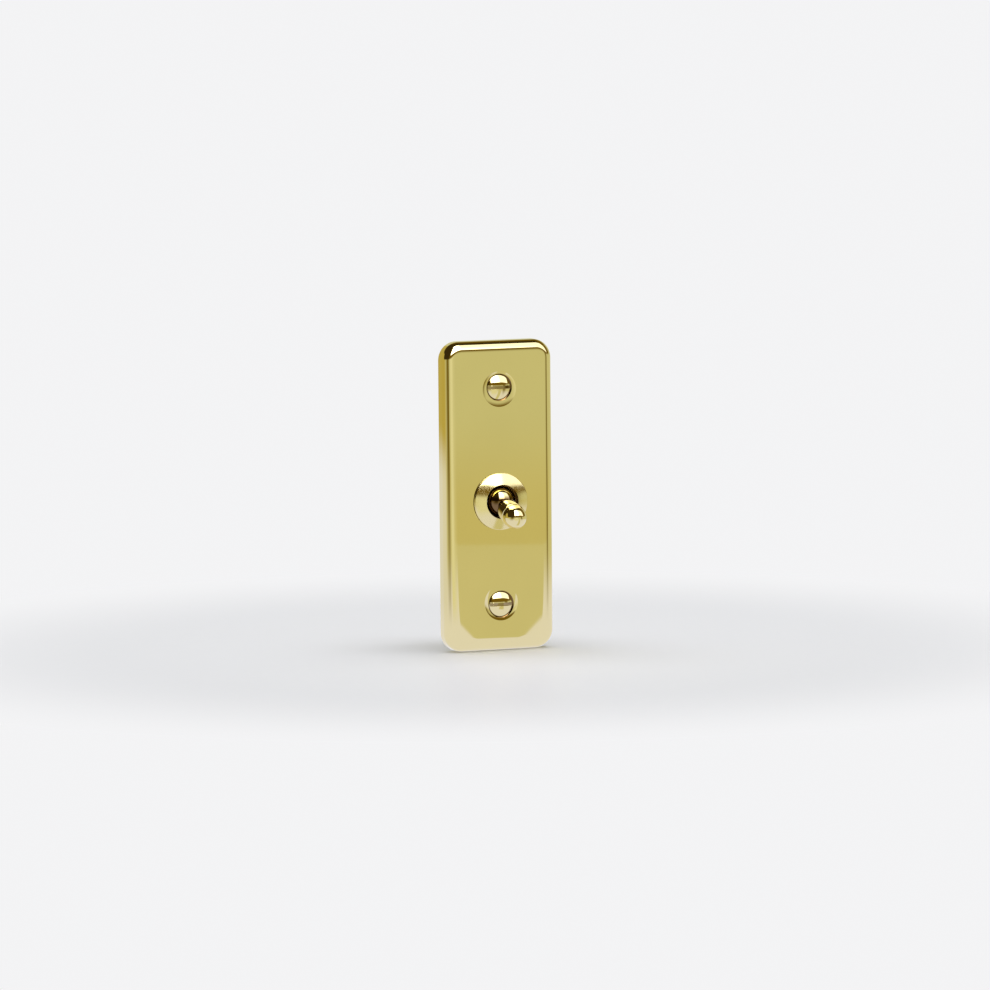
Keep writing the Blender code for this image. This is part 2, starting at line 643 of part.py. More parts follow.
def make_spring(pivot):
    """One unbroken coil between the floor of the tail bore and the plunger."""
    coil_radius = PLUNGER_RADIUS - SPRING_WIRE_RADIUS
    start = -TAIL_BORE_FLOOR - SEAT_GAP - SPRING_WIRE_RADIUS
    end = PLUNGER_LENGTH - TAIL_LENGTH - PLUNGER_PROUD + SEAT_GAP + SPRING_WIRE_RADIUS
    count = SPRING_TURNS * SPRING_POINTS_PER_TURN
    points = []
    for index in range(count + 1):
        angle = 2 * math.pi * index / SPRING_POINTS_PER_TURN
        height = start + (end - start) * index / count
        points.append(Vector((coil_radius * math.cos(angle), coil_radius * math.sin(angle), height)))
    curve = bpy.data.curves.new("plunger_spring", "CURVE")
    curve.dimensions = "3D"
    curve.bevel_depth = SPRING_WIRE_RADIUS
    curve.bevel_resolution = 1
    curve.use_fill_caps = True
    spline = curve.splines.new("POLY")
    spline.points.add(count)
    for target, point in zip(spline.points, points):
        target.co = (*point, 1)
    spring = add_part("plunger_spring", curve, STEEL)
    on_pivot(face_front(spring, 0, 0, 0), pivot)
    least_gap = least_gap_between_turns(points, SPRING_WIRE_RADIUS)
    print("plunger_spring least gap, mm:", round(least_gap / MM, 3))


def make_seesaw(pivot):
    """The notched contact strip and its two domed tips."""
    half_width = SEESAW_WIDTH / 2
    waist = half_width - NOTCH_DEPTH
    notch = CRADLE_THICKNESS / 2 + RUNNING_GAP
    right = [
        (half_width, -SEESAW_HALF_LENGTH),
        (half_width, -notch),
        (waist, -notch),
        (waist, notch),
        (half_width, notch),
        (half_width, SEESAW_HALF_LENGTH),
    ]
    outline = right + [(-x, -z) for x, z in right]
    hole_radius = RIVET_SHANK_RADIUS + RIVET_GAP
    holes = [circle_loop(hole_radius, HIDDEN_STEPS, 0, side * CONTACT_ARM) for side in (1, -1)]
    strip = flat("moving_contact", [outline] + holes, SEESAW_THICKNESS, COPPER)
    on_pivot(face_front(strip, 0, 0, 0), pivot)
    seat = SEESAW_THICKNESS / 2 + RIVET_GAP
    dome_turn = 2 * math.atan(MOVING_TIP_DOME / MOVING_TIP_RADIUS)
    dome_radius = MOVING_TIP_RADIUS / math.sin(dome_turn)
    dome_centre = (0, dome_radius - MOVING_TIP_REACH)
    dome = arc_points(dome_centre, dome_radius, dome_turn - QUARTER_TURN, -QUARTER_TURN)
    profile = [
        (0, seat + RIVET_BACK_HEIGHT),
        (RIVET_BACK_RADIUS, seat + RIVET_BACK_HEIGHT),
        (RIVET_BACK_RADIUS, seat),
        (RIVET_SHANK_RADIUS, seat),
        (RIVET_SHANK_RADIUS, -seat),
        (MOVING_TIP_RADIUS, -seat),
    ]
    profile += dome[:-1] + [(0, -MOVING_TIP_REACH)]
    for label, side in (("upper", 1), ("lower", -1)):
        tip = turned(label + "_moving_contact_tip", profile, SILVER, HIDDEN_STEPS)
        on_pivot(face_front(tip, 0, 0, side * CONTACT_ARM), pivot)


def make_terminal_block(name, front_y, z):
    """The plain brass block of a terminal, before it is drilled."""
    block = box(name, (BLOCK_WIDTH, BLOCK_DEPTH, BLOCK_HEIGHT), MACHINED_BRASS)
    block.location = (0, front_y + BLOCK_DEPTH / 2, z)
    return block


def drill_terminal_block(block, front_y, z):
    """Cut a wire bore across the block, and a tapped hole from its back into that bore."""
    bore_y = front_y + WIRE_BORE_OFFSET
    bore_length = BLOCK_WIDTH + 2 * CUT_MARGIN
    wire_bore = cylinder(block.name + "_wire_bore", WIRE_BORE_RADIUS, bore_length, "X", MACHINED_BRASS)
    wire_bore.location = (0, bore_y, z)
    cut(block, wire_bore)
    hole_radius = TERMINAL_SCREW_RADIUS + SEAT_GAP
    hole_length = BLOCK_DEPTH - WIRE_BORE_OFFSET + CUT_MARGIN
    tapped = cylinder(block.name + "_tapping", hole_radius, hole_length, "Y", MACHINED_BRASS)
    tapped.location = (0, bore_y + hole_length / 2, z)
    cut(block, tapped)


def make_terminal_screw(name, front_y, z):
    """A slotted grub screw backed out to the edge of the wire bore."""
    tip_y = front_y + TERMINAL_SCREW_OFFSET
    screw = cylinder(name, TERMINAL_SCREW_RADIUS, TERMINAL_SCREW_LENGTH, "Y", STEEL)
    screw.location = (0, tip_y + TERMINAL_SCREW_LENGTH / 2, z)
    slot_length = 2 * (TERMINAL_SCREW_RADIUS + CUT_MARGIN)
    slot = box(name + "_slot", (slot_length, 2 * TERMINAL_SLOT_DEPTH, TERMINAL_SLOT_WIDTH), STEEL)
    slot.location = (0, tip_y + TERMINAL_SCREW_LENGTH, z)
    cut(screw, slot)


def make_outer_terminal(label, side):
    """An upper or lower terminal, with a stub through the chamber floor that carries the fixed tip."""
    z = TOGGLE_Z + side * TERMINAL_PITCH
    contact_z = TOGGLE_Z + side * CONTACT_Z
    block = make_terminal_block(label + "_terminal", BLOCK_FRONT_Y, z)
    stub_length = BLOCK_FRONT_Y + WIRE_BORE_WALL - STUB_FRONT_Y
    stub = cylinder(label + "_stub", STUB_RADIUS, stub_length, "Y", MACHINED_BRASS)
    stub.location = (0, STUB_FRONT_Y + stub_length / 2, contact_z)
    join(block, stub)
    drill_terminal_block(block, BLOCK_FRONT_Y, z)
    socket_depth = FIXED_TIP_SPIGOT_LENGTH + SEAT_GAP
    socket = cylinder(
        label + "_stub_socket", FIXED_TIP_SPIGOT_RADIUS + RIVET_GAP, 2 * socket_depth, "Y", MACHINED_BRASS
    )
    socket.location = (0, STUB_FRONT_Y, contact_z)
    cut(block, socket)
    make_terminal_screw(label + "_terminal_screw", BLOCK_FRONT_Y, z)
    spigot_end = -FIXED_TIP_THICKNESS - FIXED_TIP_SPIGOT_LENGTH
    profile = [
        (0, 0),
        (FIXED_TIP_RADIUS, 0),
        (FIXED_TIP_RADIUS, -FIXED_TIP_THICKNESS),
        (FIXED_TIP_SPIGOT_RADIUS, -FIXED_TIP_THICKNESS),
        (FIXED_TIP_SPIGOT_RADIUS, spigot_end),
        (0, spigot_end),
    ]
    tip = turned(label + "_fixed_contact_tip", profile, SILVER, HIDDEN_STEPS)
    face_front(tip, 0, FIXED_TIP_Y, contact_z)


def make_common_terminal():
    """The middle terminal, whose forked post cradles the see-saw."""
    block = make_terminal_block("common_terminal", BLOCK_FRONT_Y, TOGGLE_Z)
    gap_half_width = CRADLE_HALF_WIDTH - CRADLE_CHEEK
    cheek_front = FULCRUM_Y - SEESAW_THICKNESS / 2 - CRADLE_RISE
    post_back = BLOCK_FRONT_Y + WIRE_BORE_WALL / 2
    fork = [
        (CRADLE_HALF_WIDTH, cheek_front),
        (CRADLE_HALF_WIDTH, post_back),
        (-CRADLE_HALF_WIDTH, post_back),
        (-CRADLE_HALF_WIDTH, cheek_front),
        (-gap_half_width, cheek_front),
        (-gap_half_width, CRADLE_FRONT_Y),
        (gap_half_width, CRADLE_FRONT_Y),
        (gap_half_width, cheek_front),
    ]
    post = flat("cradle_post", [fork], CRADLE_THICKNESS, MACHINED_BRASS)
    post.location = (0, 0, TOGGLE_Z)
    join(block, curve_to_mesh(post))
    drill_terminal_block(block, BLOCK_FRONT_Y, TOGGLE_Z)
    make_terminal_screw("common_terminal_screw", BLOCK_FRONT_Y, TOGGLE_Z)


def make_earth_terminal():
    front_y = PLATE_BACK_Y + SEAT_GAP
    block = make_terminal_block("earth_terminal", front_y, EARTH_Z)
    drill_terminal_block(block, front_y, EARTH_Z)
    make_terminal_screw("earth_terminal_screw", front_y, EARTH_Z)


def case_outline():
    return rounded_rectangle(CASE_HALF_WIDTH, CASE_HALF_HEIGHT, CASE_CORNER_RADIUS)


def cover_screw_places():
    return [(x, z) for z in (COVER_SCREW_Z, -COVER_SCREW_Z) for x in (-COVER_SCREW_X, COVER_SCREW_X)]


def make_switch_cover():
    screw_hole = COVER_SCREW_RADIUS + SEAT_GAP
    loops = [case_outline(), circle_loop(BUSH_HOLE_RADIUS, VISIBLE_STEPS)]
    loops += [circle_loop(screw_hole, HIDDEN_STEPS, x, z) for x, z in cover_screw_places()]
    cover = flat("switch_cover", loops, COVER_THICKNESS, WHITE_MOULDING)
    lying_flat(cover, COVER_FRONT_Y, COVER_THICKNESS)


def make_cover_screws():
    """Four slotted pan-head screws that hold the cover on the base."""
    head_top = SEAT_GAP + COVER_SCREW_HEAD_HEIGHT
    profile = [
        (0, head_top),
        (COVER_SCREW_HEAD_RADIUS, head_top),
        (COVER_SCREW_HEAD_RADIUS, SEAT_GAP),
        (COVER_SCREW_RADIUS, SEAT_GAP),
        (COVER_SCREW_RADIUS, -COVER_SCREW_LENGTH),
        (0, -COVER_SCREW_LENGTH),
    ]
    for number, (x, z) in enumerate(cover_screw_places(), start=1):
        screw = turned("cover_screw_" + str(number), profile, STEEL, HIDDEN_STEPS)
        face_front(screw, x, COVER_FRONT_Y, TOGGLE_Z + z)
        slot_length = 2 * (COVER_SCREW_HEAD_RADIUS + CUT_MARGIN)
        slot_size = (slot_length, 2 * COVER_SCREW_SLOT_DEPTH, COVER_SCREW_SLOT_WIDTH)
        slot = box("cover_slot_" + str(number), slot_size, STEEL)
        slot.location = (x, COVER_FRONT_Y - head_top, TOGGLE_Z + z)
        cut(screw, slot)


def cut_box(part, name, half_width, half_height, front_y, back_y, z):
    cutter = box(name, (2 * half_width, back_y - front_y, 2 * half_height), WHITE_MOULDING)
    cutter.location = (0, (front_y + back_y) / 2, z)
    cut(part, cutter)


def make_switch_base():
    """The deep half of the case: a contact chamber, and behind it a narrower housing for the terminals."""
    depth = FLOOR_BACK_Y - CASE_FRONT_Y
    base = flat("switch_base", [case_outline()], depth, WHITE_MOULDING)
    lying_flat(base, CASE_FRONT_Y, depth)
    base = curve_to_mesh(base)
    rear_depth = CASE_BACK_Y - FLOOR_FRONT_Y
    rear_outline = rounded_rectangle(REAR_HALF_WIDTH, REAR_HALF_HEIGHT, CASE_CORNER_RADIUS)
    rear = flat("terminal_housing", [rear_outline], rear_depth, WHITE_MOULDING)
    lying_flat(rear, FLOOR_FRONT_Y, rear_depth)
    join(base, curve_to_mesh(rear))
    front_y = CASE_FRONT_Y - CUT_MARGIN
    cut_box(base, "chamber", CHAMBER_HALF_WIDTH, CHAMBER_HALF_HEIGHT, front_y, FLOOR_FRONT_Y, TOGGLE_Z)
    back_y = CASE_BACK_Y + CUT_MARGIN
    wire_hole_length = 2 * (REAR_HALF_WIDTH + CUT_MARGIN)
    stub_hole_length = FLOOR_THICKNESS + 2 * CUT_MARGIN
    for label, side in (("upper", 1), ("common", 0), ("lower", -1)):
        z = TOGGLE_Z + side * TERMINAL_PITCH
        cut_box(base, label + "_pocket", POCKET_HALF_WIDTH, POCKET_HALF_HEIGHT, FLOOR_BACK_Y, back_y, z)
        wire_hole = cylinder(
            label + "_wire_hole", WIRE_BORE_RADIUS + SEAT_GAP, wire_hole_length, "X", WHITE_MOULDING
        )
        wire_hole.location = (0, BLOCK_FRONT_Y + WIRE_BORE_OFFSET, z)
        cut(base, wire_hole)
        if side:
            stub_hole = cylinder(
                label + "_stub_hole", STUB_RADIUS + SEAT_GAP, stub_hole_length, "Y", WHITE_MOULDING
            )
            floor_middle = (FLOOR_FRONT_Y + FLOOR_BACK_Y) / 2
            stub_hole.location = (0, floor_middle, TOGGLE_Z + side * CONTACT_Z)
            cut(base, stub_hole)
    slot_front = FLOOR_FRONT_Y - CUT_MARGIN
    slot_back = FLOOR_BACK_Y + SEAT_GAP
    slot_half_width = CRADLE_HALF_WIDTH + SEAT_GAP
    slot_half_height = CRADLE_THICKNESS / 2 + SEAT_GAP
    cut_box(base, "cradle_slot", slot_half_width, slot_half_height, slot_front, slot_back, TOGGLE_Z)
    for number, (x, z) in enumerate(cover_screw_places(), start=1):
        hole_name = "cover_screw_hole_" + str(number)
        hole_depth = COVER_FRONT_Y + COVER_SCREW_LENGTH + SEAT_GAP - CASE_FRONT_Y
        hole = cylinder(hole_name, COVER_SCREW_RADIUS + SEAT_GAP, 2 * hole_depth, "Y", WHITE_MOULDING)
        hole.location = (x, CASE_FRONT_Y, TOGGLE_Z + z)
        cut(base, hole)


make_face_plate()
make_fixing_screw("upper", FIXING_Z)
make_fixing_screw("lower", -FIXING_Z)
make_bezel_ring()
make_mounting_bush()
make_washer_and_nut()
lever_pivot = pivot_empty("lever_pivot", PIVOT_Y, LEVER_TILT)
make_lever(lever_pivot)
make_plunger(lever_pivot)
make_spring(lever_pivot)
seesaw_pivot = pivot_empty("seesaw_pivot", FULCRUM_Y, -SEESAW_TILT)
make_seesaw(seesaw_pivot)
make_common_terminal()
make_outer_terminal("upper", 1)
make_outer_terminal("lower", -1)
make_earth_terminal()
make_switch_cover()
make_cover_screws()
make_switch_base()
print("lever pivot, m:", tuple(round(value, 6) for value in lever_pivot.location))
print("see-saw pivot, m:", tuple(round(value, 6) for value in seesaw_pivot.location))
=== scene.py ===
"""Looks of a narrow toggle wall switch: fine surfaces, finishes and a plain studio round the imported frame.

The frame is in metres, with the plate's front facing -Y and +Z up. Sizes that the frame holds are read
from it.
"""

import json
import math
from collections import namedtuple

import bmesh
import bpy
from bpy.props import FloatProperty
from bpy.props import FloatVectorProperty
from bpy.props import IntProperty
from bpy.props import PointerProperty
from mathutils import Matrix
from mathutils import Vector


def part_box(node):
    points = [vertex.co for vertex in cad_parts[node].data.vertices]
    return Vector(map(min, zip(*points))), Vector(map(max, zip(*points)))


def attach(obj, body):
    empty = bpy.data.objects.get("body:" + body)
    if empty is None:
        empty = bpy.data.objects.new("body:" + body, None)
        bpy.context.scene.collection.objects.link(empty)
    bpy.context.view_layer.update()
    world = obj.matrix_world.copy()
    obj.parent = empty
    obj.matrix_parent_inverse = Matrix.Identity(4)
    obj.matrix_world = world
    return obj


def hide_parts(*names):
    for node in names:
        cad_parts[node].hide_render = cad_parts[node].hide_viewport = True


bl_info = {
    "name": "Toggle wall switch",
    "version": (1, 0, 0),
    "blender": (4, 5, 0),
    "location": "View3D > Sidebar > Switch",
    "description": "Builds the fine surfaces and finishes of a brass toggle switch round its packed frame",
    "category": "Object",
}

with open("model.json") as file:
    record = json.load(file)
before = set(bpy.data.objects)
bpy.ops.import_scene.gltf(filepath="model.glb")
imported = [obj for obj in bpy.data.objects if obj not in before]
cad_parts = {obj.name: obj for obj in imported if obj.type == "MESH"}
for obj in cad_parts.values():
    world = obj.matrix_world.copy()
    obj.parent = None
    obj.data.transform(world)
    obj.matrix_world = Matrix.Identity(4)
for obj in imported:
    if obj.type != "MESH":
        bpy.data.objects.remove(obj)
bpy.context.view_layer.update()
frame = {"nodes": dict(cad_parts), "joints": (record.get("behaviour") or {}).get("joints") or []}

MM = 0.001
TAU = 2 * math.pi
SHARP_ANGLE = math.radians(35)
BEVEL_ANGLE = math.radians(50)
# Name of the face attribute that holds painted shade: how far each face is darkened towards the dulled brass
# colour
PAINTED_SHADE_ATTRIBUTE = "grime"

# A cutting shape stands this far out of what it cuts, and a height counts as reached this near to it
CUT_MARGIN = 1 * MM
NEAR = 0.01 * MM

# Threads: rings of points on one turn, and depth as a share of the pitch
THREAD_RINGS = 8
THREAD_DEPTH = 0.6

# Slots: the bevel of their edges, and how much painted shade darkens their floors
SLOT_BEVEL = 0.05 * MM
SLOT_PAINTED_SHADE = 0.75

# Steps round the turned pieces, and along and round the spring's wire
BEZEL_STEPS = 160
LEVER_STEPS = 128
ROUND_STEPS = 96
ROD_STEPS = 48
GRUB_STEPS = 40
CASE_SCREW_STEPS = 32
COIL_STEPS = 32
WIRE_STEPS = 12

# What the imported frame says: boxes of the nodes, and the joints by name
PLATE_LOW, PLATE_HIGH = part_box("face_plate")
BEZEL_LOW, BEZEL_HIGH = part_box("bezel_ring")
BASE_LOW, BASE_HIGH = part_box("switch_base")
JOINTS = {joint["name"]: joint for joint in frame["joints"]}
LEVER_PIVOT = Vector(JOINTS["lever_toggle"]["pos_m"])
TAIL_AXIS = Vector(JOINTS["plunger_travel"]["axis"])

# Nodes of a kind
CASE_SCREWS = ["cover_screw_" + digit for digit in "1234"]
TERMINALS = ("upper", "common", "lower", "earth")

# A turned piece is made along Z and then faces out of the wall, along -Y
FACE_FRONT = Matrix.Rotation(math.pi / 2, 4, "X")


def length(name, description, millimetres):
    return FloatProperty(
        name=name, description=description, default=millimetres * MM, unit="LENGTH", precision=5
    )


def angle(name, description, degrees):
    return FloatProperty(name=name, description=description, default=math.radians(degrees), unit="ROTATION")


def colour(name, description, *channels):
    return FloatVectorProperty(
        name=name, description=description, default=channels, subtype="COLOR", min=0, max=1
    )


def scalar(name, description, default):
    return FloatProperty(name=name, description=description, default=default)


def count(name, description, default):
    return IntProperty(name=name, description=description, default=default)


class SwitchPlateSizes(bpy.types.PropertyGroup):
    """Shape of the pressed plate"""

    edge_radius: length("Edge radius", "Round of the plate's front edge", 2.65)
    corner_radius: length("Corner radius", "Round of the plate's outline", 5.2)
    sheet: length("Sheet", "Thickness of the pressed sheet", 1.0)
    crown_width: length("Crown width", "Width of the soft slope inside the round edge", 1.5)
    crown_slope: angle("Crown slope", "Steepest lean of that slope, where it meets the round edge", 6)
    rim_round: length("Rim round", "Round of the rear rim's two edges", 0.15)
    dish_radius: length("Dish radius", "Radius of the dish round a fixing screw", 4.9)
    dish_slope: angle("Dish slope", "Lean of the dish at its rim", 10)
    seat_slope: angle("Seat slope", "Lean of the dish where it reaches the screw", 4)
    dish_lip: length("Dish lip", "Round where the dish leaves the flat", 0.8)
    dish_offset: length("Dish offset", "How far a dish's rim lies nearer the middle than its screw", 0.45)
    seat_radius: length("Seat radius", "Radius where the dish meets the screw's countersink", 3.8)
    shank_hole: length("Shank hole", "Radius of the hole for a fixing screw", 2.0)
    boss_wall: length("Boss wall", "Metal round that hole, seen from behind", 0.9)
    bush_hole: length("Bush hole", "Radius of the hole for the bush", 5.45)
    corner_steps: count("Corner steps", "Steps round one corner", 28)
    edge_steps: count("Edge steps", "Steps across the round edge", 22)
    hole_steps: count("Hole steps", "Steps round a hole", 96)


class SwitchLeverSizes(bpy.types.PropertyGroup):
    """Shape of the toggle lever, with stations measured from its pivot"""

    ball_radius: length("Ball radius", "Radius of the ball that the lever turns on", 4.0)
    neck_radius: length("Neck radius", "Radius of the neck above the ball", 1.9)
    shoulder_station: length("Shoulder station", "Where the grip's shoulder begins", 5.6)
    shoulder_radius: length("Shoulder radius", "Radius of the grip at its shoulder", 3.0)
    shoulder_round: length("Shoulder round", "Round of that shoulder", 0.7)
    groove_station: length("Groove station", "Where the fine groove is cut", 10.4)
    groove_radius: length("Groove radius", "Radius of the grip at the groove", 3.3)
    groove_width: length("Groove width", "Width of the groove", 0.4)
    groove_depth: length("Groove depth", "Depth of the groove", 0.3)
    nose_radius: length("Nose radius", "Radius of the rounded end", 3.2)
    tip_station: length("Tip station", "Where the lever ends", 14.9)
    tail_radius: length("Tail radius", "Radius of the tail inside the switch", 2.4)
    tail_length: length("Tail length", "Length of the tail behind the pivot", 10.5)
    tail_bore: length("Tail bore", "Radius of the bore for the plunger", 1.6)
    bore_floor: length("Bore floor", "Depth behind the pivot at which that bore ends", 3.0)
    # Painted shade on the ball: below the first height its lower part is darkened to brown, fading in over
    # the second
    painted_shade_top: length("Painted shade top", "Height on the ball above the pivot where it is clean", 2.1)
    painted_shade_fade: length("Painted shade fade", "Height over which the ball's lower part turns brown", 1.0)
    spring_wire: length("Spring wire", "Radius of the wire of the spring in the tail", 0.18)
    spring_turns: scalar("Spring turns", "Turns of that spring", 4)


class SwitchBezelSizes(bpy.types.PropertyGroup):
    """Shape of the domed ring round the lever"""

    hole_radius: length("Hole radius", "Radius of the ring's opening", 4.75)
    skirt: length("Skirt", "Straight part of the outer edge below its round", 0.1)
    edge_round: length("Edge round", "Round of the outer edge", 0.4)
    edge_slope: angle("Edge slope", "Lean of the dome where it meets that round", 21)
    rim_slope: angle("Rim slope", "Lean of the dome at the opening", 15)
    lip: length("Lip", "Thickness of the ring at its opening", 0.5)


class SwitchBushSizes(bpy.types.PropertyGroup):
    """Shape of the threaded bush that seats the ball"""

    pitch: length("Pitch", "Pitch of the bush's thread", 0.75)
    chamfer: length("Chamfer", "Bevel at the start of the thread", 0.3)
    mouth: length("Mouth", "Bevel of the opening round the ball", 0.5)
    running_gap: length("Running gap", "Clearance round the ball and the swinging tail", 0.3)
    seat_depth: length("Seat depth", "How far the ball's seat runs behind the pivot", 1.5)


class SwitchScrewSizes(bpy.types.PropertyGroup):
    """Shape of the screws"""

    head_rise: length("Head rise", "Height of a fixing screw's dome above its rim", 1.0)
    thread_radius: length("Thread radius", "Outer radius of a fixing screw's thread", 1.75)
    pitch: length("Pitch", "Pitch of a fixing screw's thread", 0.6)
    slot_width: length("Slot width", "Width of a fixing screw's slot", 0.9)
    slot_depth: length("Slot depth", "Depth of a fixing screw's slot", 0.9)
    grub_pitch: length("Grub pitch", "Pitch of a terminal screw's thread", 0.5)
    grub_slot: length("Grub slot", "Width of a terminal screw's slot", 0.6)
    grub_slot_depth: length("Grub slot depth", "Depth of a terminal screw's slot", 0.8)
    case_thread: length("Case thread", "Outer radius of a case screw's thread", 1.0)
    case_head: length("Case head", "Height of a case screw's head", 1.1)


class SwitchCaseSizes(bpy.types.PropertyGroup):
    """Shape of the insulating case and the terminals in it"""

    corner_radius: length("Corner radius", "Round of the case's long edges", 1.5)
    edge_bevel: length("Edge bevel", "Small round on every moulded edge", 0.18)
    side_wall: length("Side wall", "Thickness of the case's side walls", 2.4)
    end_wall: length("End wall", "Thickness of the case at its top and bottom", 5.5)
    floor_thickness: length("Floor", "Wall between the chamber and the terminals", 1.2)
    seat_gap: length("Seat gap", "Clearance round a piece that sits in another", 0.25)
    bore_radius: length("Bore radius", "Radius of the hole for a wire", 1.5)
    bore_wall: length("Bore wall", "Metal in front of that hole", 0.8)
    stub_radius: length("Stub radius", "Radius of the stub that carries a fixed contact", 1.4)
    block_depth: length("Block depth", "Depth of a terminal block", 6.4)
    block_height: length("Block height", "Height of a terminal block", 6.0)
    cradle_width: length("Cradle width", "Width of the post that the moving contact rocks on", 6.6)
    cradle_thickness: length("Cradle thickness", "Thickness of that post", 2.0)
    cradle_arm: length("Cradle arm", "Width of each arm of its fork", 1.4)
    cradle_seat: length("Cradle seat", "How far the fork is cut behind the rocking axis", 0.65)
    socket_radius: length("Socket radius", "Radius of the hole that holds a fixed contact's rivet", 0.75)
    screw_hole: length("Screw hole", "Radius of the holes for the case screws", 1.25)
    block_bevel: length("Block bevel", "Small round on a terminal's edges", 0.15)


class SwitchFinishes(bpy.types.PropertyGroup):
    """Colours of the finishes"""

    polished_brass: colour("Polished brass", "Lacquered, polished brass", 0.84, 0.735, 0.38)
    machined_brass: colour("Machined brass", "Bare machined brass", 0.70, 0.52, 0.20)
    # Partly painted shade: unpolished brass made dark enough to stand for the shade in the bush's hole
    dulled_brass: colour("Dulled brass", "Browned brass inside the bezel", 0.19, 0.11, 0.035)
    turned_brass: colour("Turned brass", "Polished brass with fine marks of turning", 0.84, 0.735, 0.38)
    plated_steel: colour("Plated steel", "Zinc-plated steel", 0.56, 0.57, 0.58)
    spring_bronze: colour("Spring bronze", "Rolled contact strip", 0.72, 0.35, 0.20)
    silver_contact: colour("Silver", "Contact faces", 0.86, 0.85, 0.82)
    white_moulding: colour("White moulding", "The insulating case", 0.80, 0.79, 0.75)
    nylon: colour("Nylon", "The plunger", 0.72, 0.70, 0.62)


class SwitchStudio(bpy.types.PropertyGroup):
    """Camera, light and floor"""

    yaw: angle("Yaw", "How far the camera stands to the left of the plate's front", 22)
    elevation: angle("Elevation", "How far the camera looks down", 5.6)
    roll: angle("Roll", "Lean of the picture", 0.53)
    distance: length("Distance", "From the camera to the plate", 1959)
    shift_x: scalar("Shift X", "Framing to the right, in picture widths", 0.00146)
    shift_y: scalar("Shift Y", "Framing upwards, in picture widths", -0.0006)
    lens: scalar("Lens", "Focal length in millimetres", 256.9)
    lamp_level: scalar("Lamp level", "Brightness of the soft lamp", 4.2)
    softbox_level: scalar("Softbox level", "Brightness of the softbox's face", 1.6)
    softbox_left: length("Softbox left", "Where the softbox begins on the left", -330)
    softbox_width: length("Softbox width", "Width of the softbox", 1800)
    softbox_low: length("Softbox low", "Height of its lower edge", 235)
    softbox_away: length("Softbox away", "How far it stands in front", 660)
    softbox_soft: length("Softbox soft edge", "Width over which its left and lower edges fade", 60)
    fill_level: scalar("Fill level", "Even light from all round", 0.35)
    floor_front: length("Floor front", "How far the lit floor runs in front of the plate", 285)
    floor_colour: colour("Floor colour", "The pale floor", 0.71, 0.72, 0.77)
    page_colour: colour("Page colour", "The plain ground beyond the floor", 0.90, 0.90, 0.91)
    # The next two tones are painted reflection: what the floor glows with for glossy rays
    near_tone: colour("Near tone", "The floor close to the plate, as the metal mirrors it", 0.87, 0.87, 0.99)
    ground_tone: colour("Ground tone", "The lit floor farther out, as the metal mirrors it", 0.68, 0.65, 0.40)
    room_tone: colour("Room tone", "The warm room past the lit floor", 0.645, 0.59, 0.29)
    far_tone: colour("Far tone", "The far end of that room", 0.66, 0.65, 0.41)
    glow_tone: colour("Glow tone", "The paler part of the room, left of the middle", 0.84, 0.83, 0.62)
    paper_tone: colour("Paper tone", "The backdrop paper to the left and behind", 0.82, 0.82, 0.87)
    dusk_tone: colour("Dusk tone", "What lies past that paper", 0.557, 0.455, 0.126)
    shade_tone: colour("Shade tone", "The dark screens to the left and right", 0.20, 0.145, 0.02)
    ceiling_tone: colour("Ceiling tone", "The unlit room above eye level", 0.19, 0.12, 0.01)
    dark_tone: colour("Dark tone", "The unlit room overhead and to the upper left", 0.045, 0.028, 0.008)


SETTINGS = {
    "switch_plate": SwitchPlateSizes,
    "switch_lever": SwitchLeverSizes,
    "switch_bezel": SwitchBezelSizes,
    "switch_bush": SwitchBushSizes,
    "switch_screws": SwitchScrewSizes,
    "switch_case": SwitchCaseSizes,
    "switch_finishes": SwitchFinishes,
    "switch_studio": SwitchStudio,
}


# Mesh tools

def arc(centre, radius, start, end, steps):
    """Points of an arc as (radius, height) pairs, both ends included, with angles in degrees."""
    points = []
    for index in range(steps + 1):
        turn = math.radians(start + (end - start) * index / steps)
        points.append((centre[0] + radius * math.cos(turn), centre[1] + radius * math.sin(turn)))
    return points


def sloped_arc(start, end, start_slope, end_slope, steps):
    """Points from start to end on a curve that leans evenly from one slope to the other, falling outwards."""
    points = []
    width = end[0] - start[0]
    drop = start[1] - end[1]
    even = math.tan(start_slope)
    bend = math.tan(end_slope) - even
    fitted = drop / (width * (even + bend / 2))
    for index in range(steps + 1):
        share = index / steps
        fall = width * fitted * (even * share + bend * share * share / 2)
        points.append((start[0] + width * share, start[1] - fall))
    return points


def add_ring(shape, points):
    return [shape.verts.new(point) for point in points]


def bridge(shape, first, second):
    """Faces between two rings of points, of which either may be a single point."""
    for index in range(max(len(first), len(second))):
        following = index + 1
        corners = [
            first[index % len(first)],
            first[following % len(first)],
            second[following % len(second)],
            second[index % len(second)],
        ]
        shape.faces.new(list(dict.fromkeys(corners)))


def bridge_all(shape, rings):
    for first, second in zip(rings, rings[1:]):
        bridge(shape, first, second)


def smoothed(mesh):
    """Shade a mesh smooth, but for its sharp edges."""
    mesh.shade_smooth()
    mesh.set_sharp_from_angle(angle=SHARP_ANGLE)
    return mesh


def to_mesh(shape):
    """Turn finished faces into a smooth mesh whose faces point outwards."""
    bmesh.ops.recalc_face_normals(shape, faces=shape.faces)
    mesh = bpy.data.meshes.new("working_shape")
    shape.to_mesh(mesh)
    shape.free()
    return smoothed(mesh)


def circle(radius, steps, height):
    return [
        (radius * math.cos(TAU * index / steps), radius * math.sin(TAU * index / steps), height)
        for index in range(steps)
    ]


